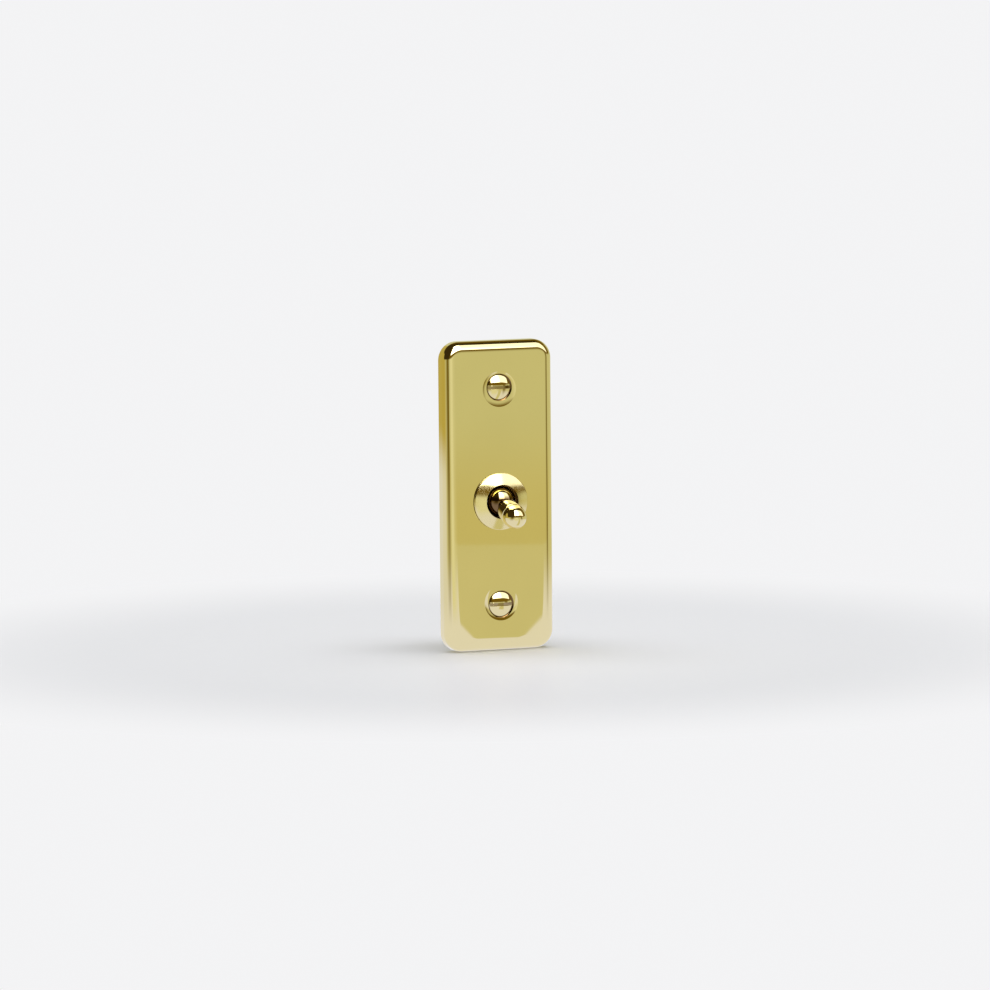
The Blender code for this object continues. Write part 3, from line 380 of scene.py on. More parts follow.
def turned(profile, steps):
    """A closed mesh spun round Z from (radius, height) points. A radius of 0 closes an end."""
    shape = bmesh.new()
    rings = []
    for radius, height in profile:
        points = circle(radius, steps, height) if radius else [(0, 0, height)]
        rings.append(add_ring(shape, points))
    bridge_all(shape, rings)
    if profile[0][0] and profile[-1][0]:
        bridge(shape, rings[-1], rings[0])
    return to_mesh(shape)


def block(low, high):
    """A box between two corners."""
    shape = bmesh.new()
    bmesh.ops.create_cube(shape, size=1)
    bmesh.ops.scale(shape, vec=Vector(high) - Vector(low), verts=shape.verts)
    bmesh.ops.translate(shape, vec=(Vector(low) + Vector(high)) / 2, verts=shape.verts)
    return to_mesh(shape)


def rod(radius, start, end, steps=ROD_STEPS):
    """A cylinder from one point to another."""
    span = Vector(end) - Vector(start)
    mesh = turned([(0, span.length), (radius, span.length), (radius, 0), (0, 0)], steps)
    turn = Vector((0, 0, 1)).rotation_difference(span).to_matrix().to_4x4()
    mesh.transform(Matrix.Translation(start) @ turn)
    return mesh


def bore(radius, x, z, front, back, steps=ROD_STEPS):
    """A cylinder that runs from the front towards the wall."""
    return rod(radius, (x, front, z), (x, back, z), steps)


def slot_cutter(radius, width, floor, top):
    """A bar that cuts a screwdriver slot across a head of some radius, made along Z."""
    return block((-2 * radius, -width / 2, floor), (2 * radius, width / 2, top))


def prism(loop, front, back):
    """A flat outline of (x, z) points, stretched from one depth to another."""
    shape = bmesh.new()
    rings = [add_ring(shape, [(x, y, z) for x, z in loop]) for y in (front, back)]
    bridge(shape, rings[0], rings[1])
    for ring in rings:
        shape.faces.new(ring)
    return to_mesh(shape)


def rounded_loop(half_width, half_height, radius, steps):
    """Outline of a rectangle with round corners, as (x, z) points."""
    loop = []
    for corner, (side_x, side_z) in enumerate([(1, 1), (-1, 1), (-1, -1), (1, -1)]):
        centre = (side_x * (half_width - radius), side_z * (half_height - radius))
        loop += arc(centre, radius, 90 * corner, 90 * corner + 90, steps)
    return loop


def temporary(mesh):
    thing = bpy.data.objects.new("working_shape", mesh)
    bpy.context.scene.collection.objects.link(thing)
    return thing


def evaluated_mesh(thing):
    """The plain mesh that an object's modifiers give. The object is removed."""
    bpy.context.view_layer.update()
    mesh = bpy.data.meshes.new_from_object(thing.evaluated_get(bpy.context.evaluated_depsgraph_get()))
    bpy.data.objects.remove(thing, do_unlink=True)
    return smoothed(mesh)


def carved(mesh, added=(), removed=(), shared=(), bevel=0.0):
    """Join meshes, cut others away, keep what is shared, then round the edges that are left sharp."""
    base = temporary(mesh)
    tools = []
    for operation, shapes in (("UNION", added), ("DIFFERENCE", removed), ("INTERSECT", shared)):
        for shape in shapes:
            tool = temporary(shape)
            tools.append(tool)
            modifier = base.modifiers.new(operation, "BOOLEAN")
            modifier.operation = operation
            modifier.object = tool
    if bevel:
        rounding = base.modifiers.new("Bevel", "BEVEL")
        rounding.width = bevel
        rounding.segments = 2
        rounding.limit_method = "ANGLE"
        rounding.angle_limit = BEVEL_ANGLE
    result = evaluated_mesh(base)
    for tool in tools:
        bpy.data.objects.remove(tool, do_unlink=True)
    return result


def add_painted_shade(mesh, amounts):
    """Store how much painted shade darkens each face, from 0 to 1, for the finish to read."""
    grime = mesh.attributes.new(PAINTED_SHADE_ATTRIBUTE, "FLOAT", "FACE")
    grime.data.foreach_set("value", [float(amount) for amount in amounts])


# Node tools, for finishes, the world and geometry alike

def put(tree, socket, value):
    """Set a socket, or link another one into it."""
    if isinstance(value, bpy.types.NodeSocket):
        tree.links.new(value, socket)
    elif value is not None:
        socket.default_value = value


def calculate(tree, operation, *values):
    node = tree.nodes.new("ShaderNodeMath")
    node.operation = operation
    for socket, value in zip(node.inputs, values):
        put(tree, socket, value)
    return node.outputs[0]


def product(tree, first, second):
    return calculate(tree, "MULTIPLY", first, second)


def total(tree, first, second):
    return calculate(tree, "ADD", first, second)


def difference(tree, first, second):
    return calculate(tree, "SUBTRACT", first, second)


def quotient(tree, first, second):
    return calculate(tree, "DIVIDE", first, second)


def split(tree, vector):
    """The three axes of a vector."""
    node = tree.nodes.new("ShaderNodeSeparateXYZ")
    tree.links.new(vector, node.inputs[0])
    return node.outputs


def ramp(tree, value, low, high, start=0.0, end=1.0):
    """Rise smoothly from start to end as value goes from low to high."""
    node = tree.nodes.new("ShaderNodeMapRange")
    node.interpolation_type = "SMOOTHSTEP"
    for name, number in (("From Min", low), ("From Max", high), ("To Min", start), ("To Max", end)):
        put(tree, node.inputs[name], number)
    put(tree, node.inputs["Value"], value)
    return node.outputs["Result"]


def blend(tree, factor, first, second):
    """Mix two colours, given as channels or as sockets."""
    node = tree.nodes.new("ShaderNodeMix")
    node.data_type = "RGBA"
    put(tree, node.inputs["Factor"], factor)
    for socket, value in ((node.inputs[6], first), (node.inputs[7], second)):
        put(tree, socket, value if isinstance(value, bpy.types.NodeSocket) else (*value, 1))
    return node.outputs[2]


Grain = namedtuple("Grain", "size stretch detail", defaults=((1, 1, 1), 4.0))


def noise(tree, grain):
    """Noise on Object coordinates, of a size in millimetres and drawn out along an axis by its stretch."""
    coordinates = tree.nodes.new("ShaderNodeTexCoord")
    mapping = tree.nodes.new("ShaderNodeMapping")
    mapping.inputs["Scale"].default_value = [1 / share for share in grain.stretch]
    tree.links.new(coordinates.outputs["Object"], mapping.inputs["Vector"])
    node = tree.nodes.new("ShaderNodeTexNoise")
    node.inputs["Scale"].default_value = 1 / (grain.size * MM)
    node.inputs["Detail"].default_value = grain.detail
    tree.links.new(mapping.outputs["Vector"], node.inputs["Vector"])
    return node.outputs["Fac"]


# Finishes

# A finish has a grain of tone with the darkest and palest share of its tint, a grain of gloss with the least
# and most roughness, a relief with its height in millimetres, other numbers of the shader, and the noise at
# which the gloss is dullest
Finish = namedtuple(
    "Finish",
    "metallic tone shades gloss rough relief height sockets dullest",
    defaults=(None, 0, {}, 0.7),
)
BRIGHTEST = 0.3

DRIFT = Grain(14, detail=2.0)
HAZE = Grain(0.5, (1, 1, 6), 5.0)
RIPPLE = Grain(5, detail=1.0)
LACQUER = {"Coat Weight": 0.5, "Coat Roughness": 0.02, "Coat IOR": 1.5}
PATCHES = Grain(2.5, detail=3.0)
CUTTER_LINES = Grain(0.12, (14, 1, 1), 3.0)
BROWNING = Grain(1.2)
MOTTLE = Grain(0.8, detail=5.0)
PLATING = Grain(0.15)
ROLLED = Grain(0.2, (1, 1, 18))
BLOOM = Grain(0.6)
FLOW = Grain(6, (1, 3, 1), 3.0)
SKIN = Grain(0.16, detail=2.0)
MARKS = Grain(0.1, (8, 1, 8), 2.0)
WAXY = {"Subsurface Weight": 0.1, "Subsurface Scale": 1 * MM}

FINISHES = {
    # Buffed and lacquered: a near mirror, with a slow drift of tone and faint polishing haze
    "polished_brass": Finish(
        1.0, DRIFT, (0.97, 1.03), HAZE, (0.025, 0.045), RIPPLE, 0.001, LACQUER, dullest=0.75
    ),
    # The same, left a little hazy by the lathe
    "turned_brass": Finish(
        1.0, DRIFT, (0.97, 1.03), HAZE, (0.12, 0.18), RIPPLE, 0.001, LACQUER, dullest=0.75
    ),
    # Bare from the machine: fine cutter lines and small patches of dulled metal
    "machined_brass": Finish(1.0, PATCHES, (0.82, 1.05), CUTTER_LINES, (0.24, 0.42), CUTTER_LINES, 0.006),
    # Unpolished brass, made dark brown as painted shade in the bush's hole, and the colour that painted shade
    # on brass darkens to
    "dulled_brass": Finish(1.0, BROWNING, (0.8, 1.15), BROWNING, (0.45, 0.6), CUTTER_LINES, 0.004),
    # Bright zinc plate: a pale mottle and a slightly uneven gloss
    "plated_steel": Finish(1.0, MOTTLE, (0.80, 1.12), MOTTLE, (0.22, 0.38), PLATING, 0.003),
    # Rolled strip: long grain up and down the strip
    "spring_bronze": Finish(1.0, ROLLED, (0.85, 1.08), ROLLED, (0.24, 0.36), ROLLED, 0.003),
    # Satin silver with a faint grey bloom
    "silver_contact": Finish(1.0, BLOOM, (0.86, 1.0), BLOOM, (0.26, 0.40)),
    # Thermoset moulding: an even off-white with a fine spark-eroded skin
    "white_moulding": Finish(0.0, FLOW, (0.96, 1.02), SKIN, (0.42, 0.58), SKIN, 0.012),
    # Turned nylon: waxy, with faint turning marks
    "nylon": Finish(0.0, MARKS, (0.95, 1.03), MARKS, (0.35, 0.5), sockets=WAXY),
}
# Finishes that read the painted shade attribute
SHADE_PAINTED_FINISHES = ("polished_brass", "turned_brass")


def shaded(tint, amount):
    return [channel * amount for channel in tint]


def new_finish(name, metallic):
    material = bpy.data.materials.new(name)
    material.use_nodes = True
    tree = material.node_tree
    shader = tree.nodes["Principled BSDF"]
    shader.inputs["Metallic"].default_value = metallic
    return material, tree, shader


def made_finish(name):
    """Make the material of a finish from its row in the table."""
    look = FINISHES[name]
    colours = bpy.context.scene.switch_finishes
    tint = list(getattr(colours, name))
    material, tree, shader = new_finish(name + "_finish", look.metallic)
    darkest, palest = look.shades
    tone = blend(tree, noise(tree, look.tone), shaded(tint, darkest), shaded(tint, palest))
    # Painted shade: faces are darkened towards the dulled brass colour as far as the attribute says
    if name in SHADE_PAINTED_FINISHES:
        grime = tree.nodes.new("ShaderNodeAttribute")
        grime.attribute_name = PAINTED_SHADE_ATTRIBUTE
        tone = blend(tree, grime.outputs["Fac"], tone, list(colours.dulled_brass))
    put(tree, shader.inputs["Base Color"], tone)
    gloss = ramp(tree, noise(tree, look.gloss), BRIGHTEST, look.dullest, *look.rough)
    put(tree, shader.inputs["Roughness"], gloss)
    for socket, value in look.sockets.items():
        shader.inputs[socket].default_value = value
    if look.relief:
        bump = tree.nodes.new("ShaderNodeBump")
        bump.inputs["Strength"].default_value = 1.0
        bump.inputs["Distance"].default_value = look.height * MM
        tree.links.new(noise(tree, look.relief), bump.inputs["Height"])
        tree.links.new(bump.outputs["Normal"], shader.inputs["Normal"])
    return material


def finish(name):
    """The material of a finish, made the first time that it is asked for."""
    return bpy.data.materials.get(name + "_finish") or made_finish(name)


# Geometry node trees

def new_tree(name, numbers, takes_mesh):
    """A geometry tree with named number inputs and a material input."""
    tree = bpy.data.node_groups.new(name, "GeometryNodeTree")
    if takes_mesh:
        tree.interface.new_socket("Geometry", in_out="INPUT", socket_type="NodeSocketGeometry")
    for number in numbers:
        tree.interface.new_socket(number, in_out="INPUT", socket_type="NodeSocketFloat")
    tree.interface.new_socket("Material", in_out="INPUT", socket_type="NodeSocketMaterial")
    tree.interface.new_socket("Geometry", in_out="OUTPUT", socket_type="NodeSocketGeometry")
    return tree, tree.nodes.new("NodeGroupInput").outputs


def end_tree(tree, geometry, material):
    """Realize what the tree made and give it its material."""
    realize = tree.nodes.new("GeometryNodeRealizeInstances")
    paint = tree.nodes.new("GeometryNodeSetMaterial")
    tree.links.new(geometry, realize.inputs["Geometry"])
    tree.links.new(realize.outputs["Geometry"], paint.inputs["Geometry"])
    tree.links.new(material, paint.inputs["Material"])
    tree.links.new(paint.outputs["Geometry"], tree.nodes.new("NodeGroupOutput").inputs["Geometry"])
    return tree


def thread_tree():
    """Cuts a helical thread into the cylinder of a turned mesh between two heights."""
    numbers = ("Radius", "Depth", "Pitch", "Top", "Bottom")
    tree, given = new_tree("cut_thread", numbers, True)
    x, y, z = split(tree, tree.nodes.new("GeometryNodeInputPosition").outputs[0])
    radius = calculate(tree, "SQRT", total(tree, product(tree, x, x), product(tree, y, y)))
    turn = quotient(tree, calculate(tree, "ARCTAN2", y, x), TAU)
    phase = calculate(tree, "FRACT", difference(tree, quotient(tree, z, given["Pitch"]), turn))
    valley = product(tree, calculate(tree, "ABSOLUTE", difference(tree, phase, 0.5)), 2.0)
    above = quotient(tree, difference(tree, z, given["Bottom"]), given["Pitch"])
    below = quotient(tree, difference(tree, given["Top"], z), given["Pitch"])
    run_out = product(tree, ramp(tree, above, 0.0, 1.0), ramp(tree, below, 0.0, 1.0))
    cut = product(tree, product(tree, valley, run_out), given["Depth"])
    scale = quotient(tree, difference(tree, radius, cut), radius)
    moved = tree.nodes.new("ShaderNodeCombineXYZ")
    for socket, value in zip(moved.inputs, (product(tree, x, scale), product(tree, y, scale), z)):
        tree.links.new(value, socket)
    on_cylinder = tree.nodes.new("FunctionNodeCompare")
    on_cylinder.operation = "EQUAL"
    tree.links.new(radius, on_cylinder.inputs["A"])
    tree.links.new(given["Radius"], on_cylinder.inputs["B"])
    on_cylinder.inputs["Epsilon"].default_value = NEAR / 2
    shift = tree.nodes.new("GeometryNodeSetPosition")
    tree.links.new(given["Geometry"], shift.inputs["Geometry"])
    tree.links.new(on_cylinder.outputs["Result"], shift.inputs["Selection"])
    tree.links.new(moved.outputs["Vector"], shift.inputs["Position"])
    return end_tree(tree, shift.outputs["Geometry"], given["Material"])


def coil_tree():
    """A round-wire coil spring that stands on Z."""
    tree, given = new_tree("wind_coil", ("Coil radius", "Wire radius", "Height", "Turns"), False)
    spiral = tree.nodes.new("GeometryNodeCurveSpiral")
    spiral.inputs["Resolution"].default_value = COIL_STEPS
    tree.links.new(given["Turns"], spiral.inputs["Rotations"])
    tree.links.new(given["Coil radius"], spiral.inputs["Start Radius"])
    tree.links.new(given["Coil radius"], spiral.inputs["End Radius"])
    tree.links.new(given["Height"], spiral.inputs["Height"])
    wire = tree.nodes.new("GeometryNodeCurvePrimitiveCircle")
    wire.inputs["Resolution"].default_value = WIRE_STEPS
    tree.links.new(given["Wire radius"], wire.inputs["Radius"])
    sweep = tree.nodes.new("GeometryNodeCurveToMesh")
    sweep.inputs["Fill Caps"].default_value = True
    tree.links.new(spiral.outputs["Curve"], sweep.inputs["Curve"])
    tree.links.new(wire.outputs["Curve"], sweep.inputs["Profile Curve"])
    return end_tree(tree, sweep.outputs["Mesh"], given["Material"])


def grown(mesh, tree_name, values):
    """The plain mesh that a geometry tree gives for a mesh and the inputs named in values."""
    thing = temporary(mesh)
    modifier = thing.modifiers.new(tree_name, "NODES")
    makers = {"cut_thread": thread_tree, "wind_coil": coil_tree}
    modifier.node_group = bpy.data.node_groups.get(tree_name) or makers[tree_name]()
    for item in modifier.node_group.interface.items_tree:
        if item.in_out == "INPUT" and item.name in values:
            modifier[item.identifier] = values[item.name]
    return evaluated_mesh(thing)


def threaded(mesh, radius, pitch, top, bottom, finish_name):
    """Cut a thread into a mesh made along Z."""
    values = {
        "Radius": radius,
        "Depth": THREAD_DEPTH * pitch,
        "Pitch": pitch,
        "Top": top,
        "Bottom": bottom,
        "Material": finish(finish_name),
    }
    return grown(mesh, "cut_thread", values)


def thread_rings(radius, start, end, top, bottom, pitch):
    """Points down a cylinder from start to end, close enough for a thread between top and bottom."""
    rings = math.ceil((top - bottom) / pitch * THREAD_RINGS)
    return [(radius, start + (end - start) * index / rings) for index in range(rings + 1)]


# Pieces

def add_piece(name, mesh, finish_name, body, *nodes):
    """Show a finished mesh in place of CAD nodes, moving with a body."""
    mesh.name = name
    mesh.materials.clear()
    mesh.materials.append(finish(finish_name))
    piece = bpy.data.objects.new(name, mesh)
    bpy.context.scene.collection.objects.link(piece)
    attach(piece, body)
    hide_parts(*nodes)


def finish_node(node, finish_name):
    """Keep a CAD node and give it a finish."""
    thing = frame["nodes"][node]
    thing.data.materials.clear()
    thing.data.materials.append(finish(finish_name))


def centre_of(node):
    low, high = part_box(node)
    return (low + high) / 2


def out_of_wall(mesh, x, y, z):
    """Stand a mesh made along Z at a point, with its top towards the viewer."""
    mesh.transform(Matrix.Translation((x, y, z)) @ FACE_FRONT)
    return mesh


def plate_sections(sizes):
    """Rings of the plate's outer skin from the rear rim to the flat, as (inset, depth) pairs."""
    depth = PLATE_HIGH.y - PLATE_LOW.y
    slope = sizes.crown_slope
    inset_at_crown = sizes.edge_radius * (1 - math.sin(slope))
    crown_rise = math.tan(slope) * sizes.crown_width / 2
    wall = depth - crown_rise - sizes.edge_radius * math.cos(slope)
    sections = [(sizes.rim_round, 0), (0, sizes.rim_round)]
    for index in range(sizes.edge_steps + 1):
        lean = math.pi / 2 + (slope - math.pi / 2) * index / sizes.edge_steps
        inset = sizes.edge_radius * (1 - math.sin(lean))
        sections.append((inset, wall + sizes.edge_radius * math.cos(lean)))
    crown_steps = sizes.edge_steps // 3
    for index in range(1, crown_steps + 1):
        share = index / crown_steps
        rise = math.tan(slope) * sizes.crown_width * (share - share * share / 2)
        sections.append((inset_at_crown + sizes.crown_width * share, depth - crown_rise + rise))
    inset, level = sections[-1]
    sections.append((inset + sizes.rim_round, level))
    return sections


def plate_back_sections(sizes):
    """Rings of the plate's inner skin, from its flat back to the rear rim."""
    radius = sizes.edge_radius - sizes.sheet
    depth = PLATE_HIGH.y - PLATE_LOW.y - sizes.sheet
    sections = []
    for index in range(sizes.edge_steps + 1):
        lean = math.pi / 2 * index / sizes.edge_steps
        sections.append((sizes.sheet + radius * (1 - math.sin(lean)), depth - radius * (1 - math.cos(lean))))
    flat = (sections[0][0] + sizes.rim_round, depth)
    rim = [(sizes.sheet, sizes.rim_round), (sizes.sheet - sizes.rim_round, 0)]
    return [flat] + sections + rim


def dish_profile(sizes):
    """A fixing hole from the plate's flat front to its flat back, as (radius, depth) pairs."""
    lean = sizes.dish_slope
    lip_reach = sizes.dish_lip * math.sin(lean)
    lip_start = sizes.dish_radius + lip_reach
    lip = arc((lip_start, sizes.dish_lip), sizes.dish_lip, 270, 270 - math.degrees(lean), 6)
    bowl_width = sizes.dish_radius - sizes.seat_radius
    steepest = math.tan(lean)
    easing = steepest - math.tan(sizes.seat_slope)
    bowl = []
    for share in (0.1, 0.25, 0.4, 0.55, 0.7, 0.85, 1.0):
        fall = bowl_width * (steepest * share - easing * share * share / 2)
        bowl.append((sizes.dish_radius - bowl_width * share, lip[-1][1] + fall))
    seat = Vector(bowl[-1])
    cone_end = Vector((sizes.shank_hole, seat.y + sizes.seat_radius - sizes.shank_hole))
    cone = [tuple(seat.lerp(cone_end, share)) for share in (0.03, 0.1, 1.0)]
    back = cone_end.y + sizes.boss_wall / 2
    boss = sizes.shank_hole + sizes.boss_wall
    flank = [(sizes.shank_hole, back), (boss, back), (boss + back - sizes.sheet, sizes.sheet)]
    front = [(lip_start + sizes.rim_round, 0)]
    return front + lip + bowl + cone + flank + [(flank[-1][0] + sizes.rim_round, sizes.sheet)]


def loop_edges(shape, ring):
    return [shape.edges.get((ring[index - 1], ring[index])) for index in range(len(ring))]


def fill_flat(shape, rings, facing):
    """Close the flat between an outer ring and the rings of its holes."""
    edges = [edge for ring in rings for edge in loop_edges(shape, ring)]
    bmesh.ops.triangle_fill(shape, edges=edges, use_beauty=True, normal=(0, facing, 0))


class SWITCH_OT_plate(bpy.types.Operator):
    """Press the brass plate, with its round edge, dishes and holes"""

    bl_idname = "switch.plate"
    bl_label = "Plate"

    def execute(self, context):
        sizes = context.scene.switch_plate
        half_width = (PLATE_HIGH.x - PLATE_LOW.x) / 2
        half_height = (PLATE_HIGH.z - PLATE_LOW.z) / 2
        shape = bmesh.new()
        skins = []
        for sections in (plate_sections(sizes), plate_back_sections(sizes)):
            rings = []
            for inset, depth in sections:
                corner = sizes.corner_radius - inset
                loop = rounded_loop(half_width - inset, half_height - inset, corner, sizes.corner_steps)
                rings.append(add_ring(shape, [(x, -depth, z) for x, z in loop]))
            bridge_all(shape, rings)
            skins.append(rings)
        bridge(shape, skins[1][-1], skins[0][0])
        middles = [centre_of(label + "_fixing_screw") for label in ("upper", "lower")]
        profile = dish_profile(sizes)
        hole_rings = []
        for middle, side in zip(middles, (-1, 1)):
            drift = [side * self.dish_drift(sizes, *point) for point in profile]
            hole_rings.append(self.holed(sizes, shape, profile, drift, middle.z))
        bush_profile = [(sizes.bush_hole, 0), (sizes.bush_hole, sizes.sheet)]
        hole_rings.append(self.holed(sizes, shape, bush_profile, [0, 0], LEVER_PIVOT.z))
        fill_flat(shape, [skins[0][-1]] + [first for first, last in hole_rings], -1)
        fill_flat(shape, [skins[1][0]] + [last for first, last in hole_rings], 1)
        mesh = to_mesh(shape)
        # Painted shade round each screw: the front faces of the dish seat and countersink are darkened
        grime = []
        for polygon in mesh.polygons:
            place = polygon.center
            reach = min(math.hypot(place.x - middle.x, place.z - middle.z) for middle in middles)
            grime.append(reach < sizes.seat_radius and polygon.normal.y < 0)
        add_painted_shade(mesh, grime)
        add_piece("pressed_plate", mesh, "polished_brass", "switch_body", "face_plate")
        return {"FINISHED"}

    def dish_drift(self, sizes, radius, depth):
        """How far a ring of the dish lies off its screw: all the way at the rim, not at all at the seat."""
        if depth >= sizes.sheet / 2:
            return 0.0
        outward = (radius - sizes.seat_radius) / (sizes.dish_radius - sizes.seat_radius)
        return sizes.dish_offset * max(0.0, min(1.0, outward))

    def holed(self, sizes, shape, profile, drift, z):
        """Line a hole through the plate, whose rings drift up or down, and give its first and last ring."""
        rings = []
        for (radius, depth), rise in zip(profile, drift):
            loop = circle(radius, sizes.hole_steps, 0)
            rings.append(add_ring(shape, [(x, PLATE_LOW.y + depth, z + rise + up) for x, up, _ in loop]))
        bridge_all(shape, rings)
        return rings[0], rings[-1]


def threaded_screw(head, radius, end, pitch, slot, finish_name, steps):
    """A slotted screw made along Z: a head profile, then a shank down to its end, with a cut thread."""
    top = head[-1][1]
    chamfer = pitch / 2
    shank = thread_rings(radius, top, end + chamfer, top, end, pitch)
    profile = head + shank + [(radius - chamfer, end), (0, end)]
    slotted = carved(turned(profile, steps), removed=[slot], bevel=SLOT_BEVEL)
    return threaded(slotted, radius, pitch, top, end, finish_name)


class SWITCH_OT_fixing_screws(bpy.types.Operator):
    """Turn the two slotted fixing screws, with raised heads and long threads"""

    bl_idname = "switch.fixing_screws"
    bl_label = "Fixing screws"

    def execute(self, context):
        sizes = context.scene.switch_screws
        for label in ("upper", "lower"):
            node = label + "_fixing_screw"
            low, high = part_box(node)
            head_radius = (high.x - low.x) / 2
            centre = centre_of(node)
            rim_y = low.y + sizes.head_rise
            dome_radius = (head_radius ** 2 + sizes.head_rise ** 2) / (2 * sizes.head_rise)
            dome_turn = math.degrees(math.asin(head_radius / dome_radius))
            dome = arc((0, sizes.head_rise - dome_radius), dome_radius, 90, 90 - dome_turn, 20)
            head = [(0, sizes.head_rise)] + dome[1:]
            head.append((sizes.thread_radius, sizes.thread_radius - head_radius))
            floor = sizes.head_rise - sizes.slot_depth
            slot = slot_cutter(head_radius, sizes.slot_width, floor, 2 * sizes.head_rise)
            end = rim_y - high.y
            mesh = threaded_screw(
                head, sizes.thread_radius, end, sizes.pitch, slot, "polished_brass", ROUND_STEPS
            )
            # Painted shade in the slot: its floor is darkened
            grime = []
            for polygon in mesh.polygons:
                place = polygon.center
                in_slot = abs(place.y) < sizes.slot_width / 2 and abs(place.z - floor) < NEAR
                grime.append(SLOT_PAINTED_SHADE * in_slot)
            add_painted_shade(mesh, grime)
            out_of_wall(mesh, centre.x, rim_y, centre.z)
            add_piece(label + "_plate_screw", mesh, "polished_brass", "switch_body", node)
        return {"FINISHED"}


class SWITCH_OT_bezel(bpy.types.Operator):
    """Turn the domed ring round the lever"""

    bl_idname = "switch.bezel"
    bl_label = "Bezel ring"

    def execute(self, context):
        sizes = context.scene.switch_bezel
        outer = (BEZEL_HIGH.x - BEZEL_LOW.x) / 2
        front_y = PLATE_LOW.y
        foot = front_y - BEZEL_HIGH.y
        rim = front_y - BEZEL_LOW.y
        bush_hole = context.scene.switch_plate.bush_hole
        edge_top = 90 - math.degrees(sizes.edge_slope)
        edge_centre = (outer - sizes.edge_round, foot + sizes.skirt)
        edge = arc(edge_centre, sizes.edge_round, edge_top, 0, 10)
        dome = sloped_arc((sizes.hole_radius, rim), edge[0], sizes.rim_slope, sizes.edge_slope, 24)
        inside = [
            (outer, foot),
            (bush_hole, foot),
            (bush_hole, rim - sizes.lip),
            (sizes.hole_radius, rim - sizes.lip),
        ]
        mesh = turned(dome[:-1] + edge + inside, BEZEL_STEPS)
        out_of_wall(mesh, 0, front_y, LEVER_PIVOT.z)
        add_piece("bezel_dome", mesh, "turned_brass", "switch_body", "bezel_ring")
        return {"FINISHED"}


def lever_profile(sizes):
    """The lever from its tip to the floor of its tail bore, with the pivot at height 0."""
    half_groove = sizes.groove_width / 2
    nose = arc((0, sizes.tip_station - sizes.nose_radius), sizes.nose_radius, 90, 0, 30)
    groove = [
        (sizes.groove_radius, sizes.groove_station + half_groove),
        (sizes.groove_radius - sizes.groove_depth, sizes.groove_station + half_groove / 4),
        (sizes.groove_radius - sizes.groove_depth, sizes.groove_station - half_groove / 4),
        (sizes.groove_radius, sizes.groove_station - half_groove),
    ]
    rounding = sizes.shoulder_round
    shoulder_centre = (sizes.shoulder_radius - rounding, sizes.shoulder_station + rounding)
    shoulder = arc(shoulder_centre, rounding, 0, -90, 12)
    neck = [(sizes.neck_radius, sizes.shoulder_station)]
    ball_start = math.degrees(math.acos(sizes.neck_radius / sizes.ball_radius))
    ball_end = -math.degrees(math.acos(sizes.tail_radius / sizes.ball_radius))
    ball = arc((0, 0), sizes.ball_radius, ball_start, ball_end, 40)
    tail = [
        (sizes.tail_radius, -sizes.tail_length),
        (sizes.tail_bore, -sizes.tail_length),
        (sizes.tail_bore, -sizes.bore_floor),
        (0, -sizes.bore_floor),
    ]
    return [(0, sizes.tip_station)] + nose[1:] + groove + shoulder + neck + ball + tail


def along_lever(mesh):
    """Place a mesh made along Z on the lever, with its top towards the lever's tip."""
    turn = Vector((0, 0, 1)).rotation_difference(-TAIL_AXIS).to_matrix().to_4x4()
    mesh.transform(Matrix.Translation(LEVER_PIVOT) @ turn)
    return mesh


class SWITCH_OT_lever(bpy.types.Operator):
    """Turn the toggle lever: bullet grip, fine groove, neck, ball and hollow tail"""

    bl_idname = "switch.lever"
    bl_label = "Toggle lever"

    def execute(self, context):
        sizes = context.scene.switch_lever
        pin_low, pin_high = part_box("pivot_pin")
        hole_radius = (pin_high.z - pin_low.z) / 2 + context.scene.switch_case.seat_gap
        pin_hole = rod(hole_radius, (pin_low.x, 0, 0), (pin_high.x, 0, 0))
        mesh = carved(turned(lever_profile(sizes), LEVER_STEPS), removed=[pin_hole])
        below_grip = [polygon.center.z < sizes.shoulder_station for polygon in mesh.polygons]
        along_lever(mesh)
        # Painted shade on the ball: its lower part, below the grip, is darkened to brown under its highlight
        grime = []
        for polygon, shade_zone in zip(mesh.polygons, below_grip):
            up = polygon.center.z - LEVER_PIVOT.z
            reach = (sizes.painted_shade_top - up) / sizes.painted_shade_fade
            grime.append(shade_zone * max(0.0, min(1.0, reach)))
        add_painted_shade(mesh, grime)
        add_piece("lever_body", mesh, "polished_brass", "lever", "toggle_lever")
        return {"FINISHED"}


class SWITCH_OT_spring(bpy.types.Operator):
    """Wind the spring in the lever's tail, and finish the plunger that it pushes"""

    bl_idname = "switch.spring"
    bl_label = "Spring and plunger"

    def execute(self, context):
        lever = context.scene.switch_lever
        gap = context.scene.switch_case.seat_gap
        wire = lever.spring_wire
        coil = lever.tail_bore - gap - 2 * wire
        top = -lever.bore_floor - gap - wire
        height = top - (self.plunger_top() + gap + wire)
        values = {
            "Coil radius": coil,
            "Wire radius": wire,
            "Height": height,
            "Turns": lever.spring_turns,
            "Material": finish("plated_steel"),
        }
        mesh = grown(bpy.data.meshes.new("coil"), "wind_coil", values)
        mesh.transform(Matrix.Translation((0, 0, top - height)))
        add_piece("tail_spring", along_lever(mesh), "plated_steel", "lever", "plunger_spring")
        finish_node("plunger", "nylon")
        return {"FINISHED"}

    def plunger_top(self):
        """Station of the plunger's inner end along the lever."""
        corners = [vertex.co for vertex in frame["nodes"]["plunger"].data.vertices]
        return max((corner - LEVER_PIVOT).dot(-TAIL_AXIS) for corner in corners)


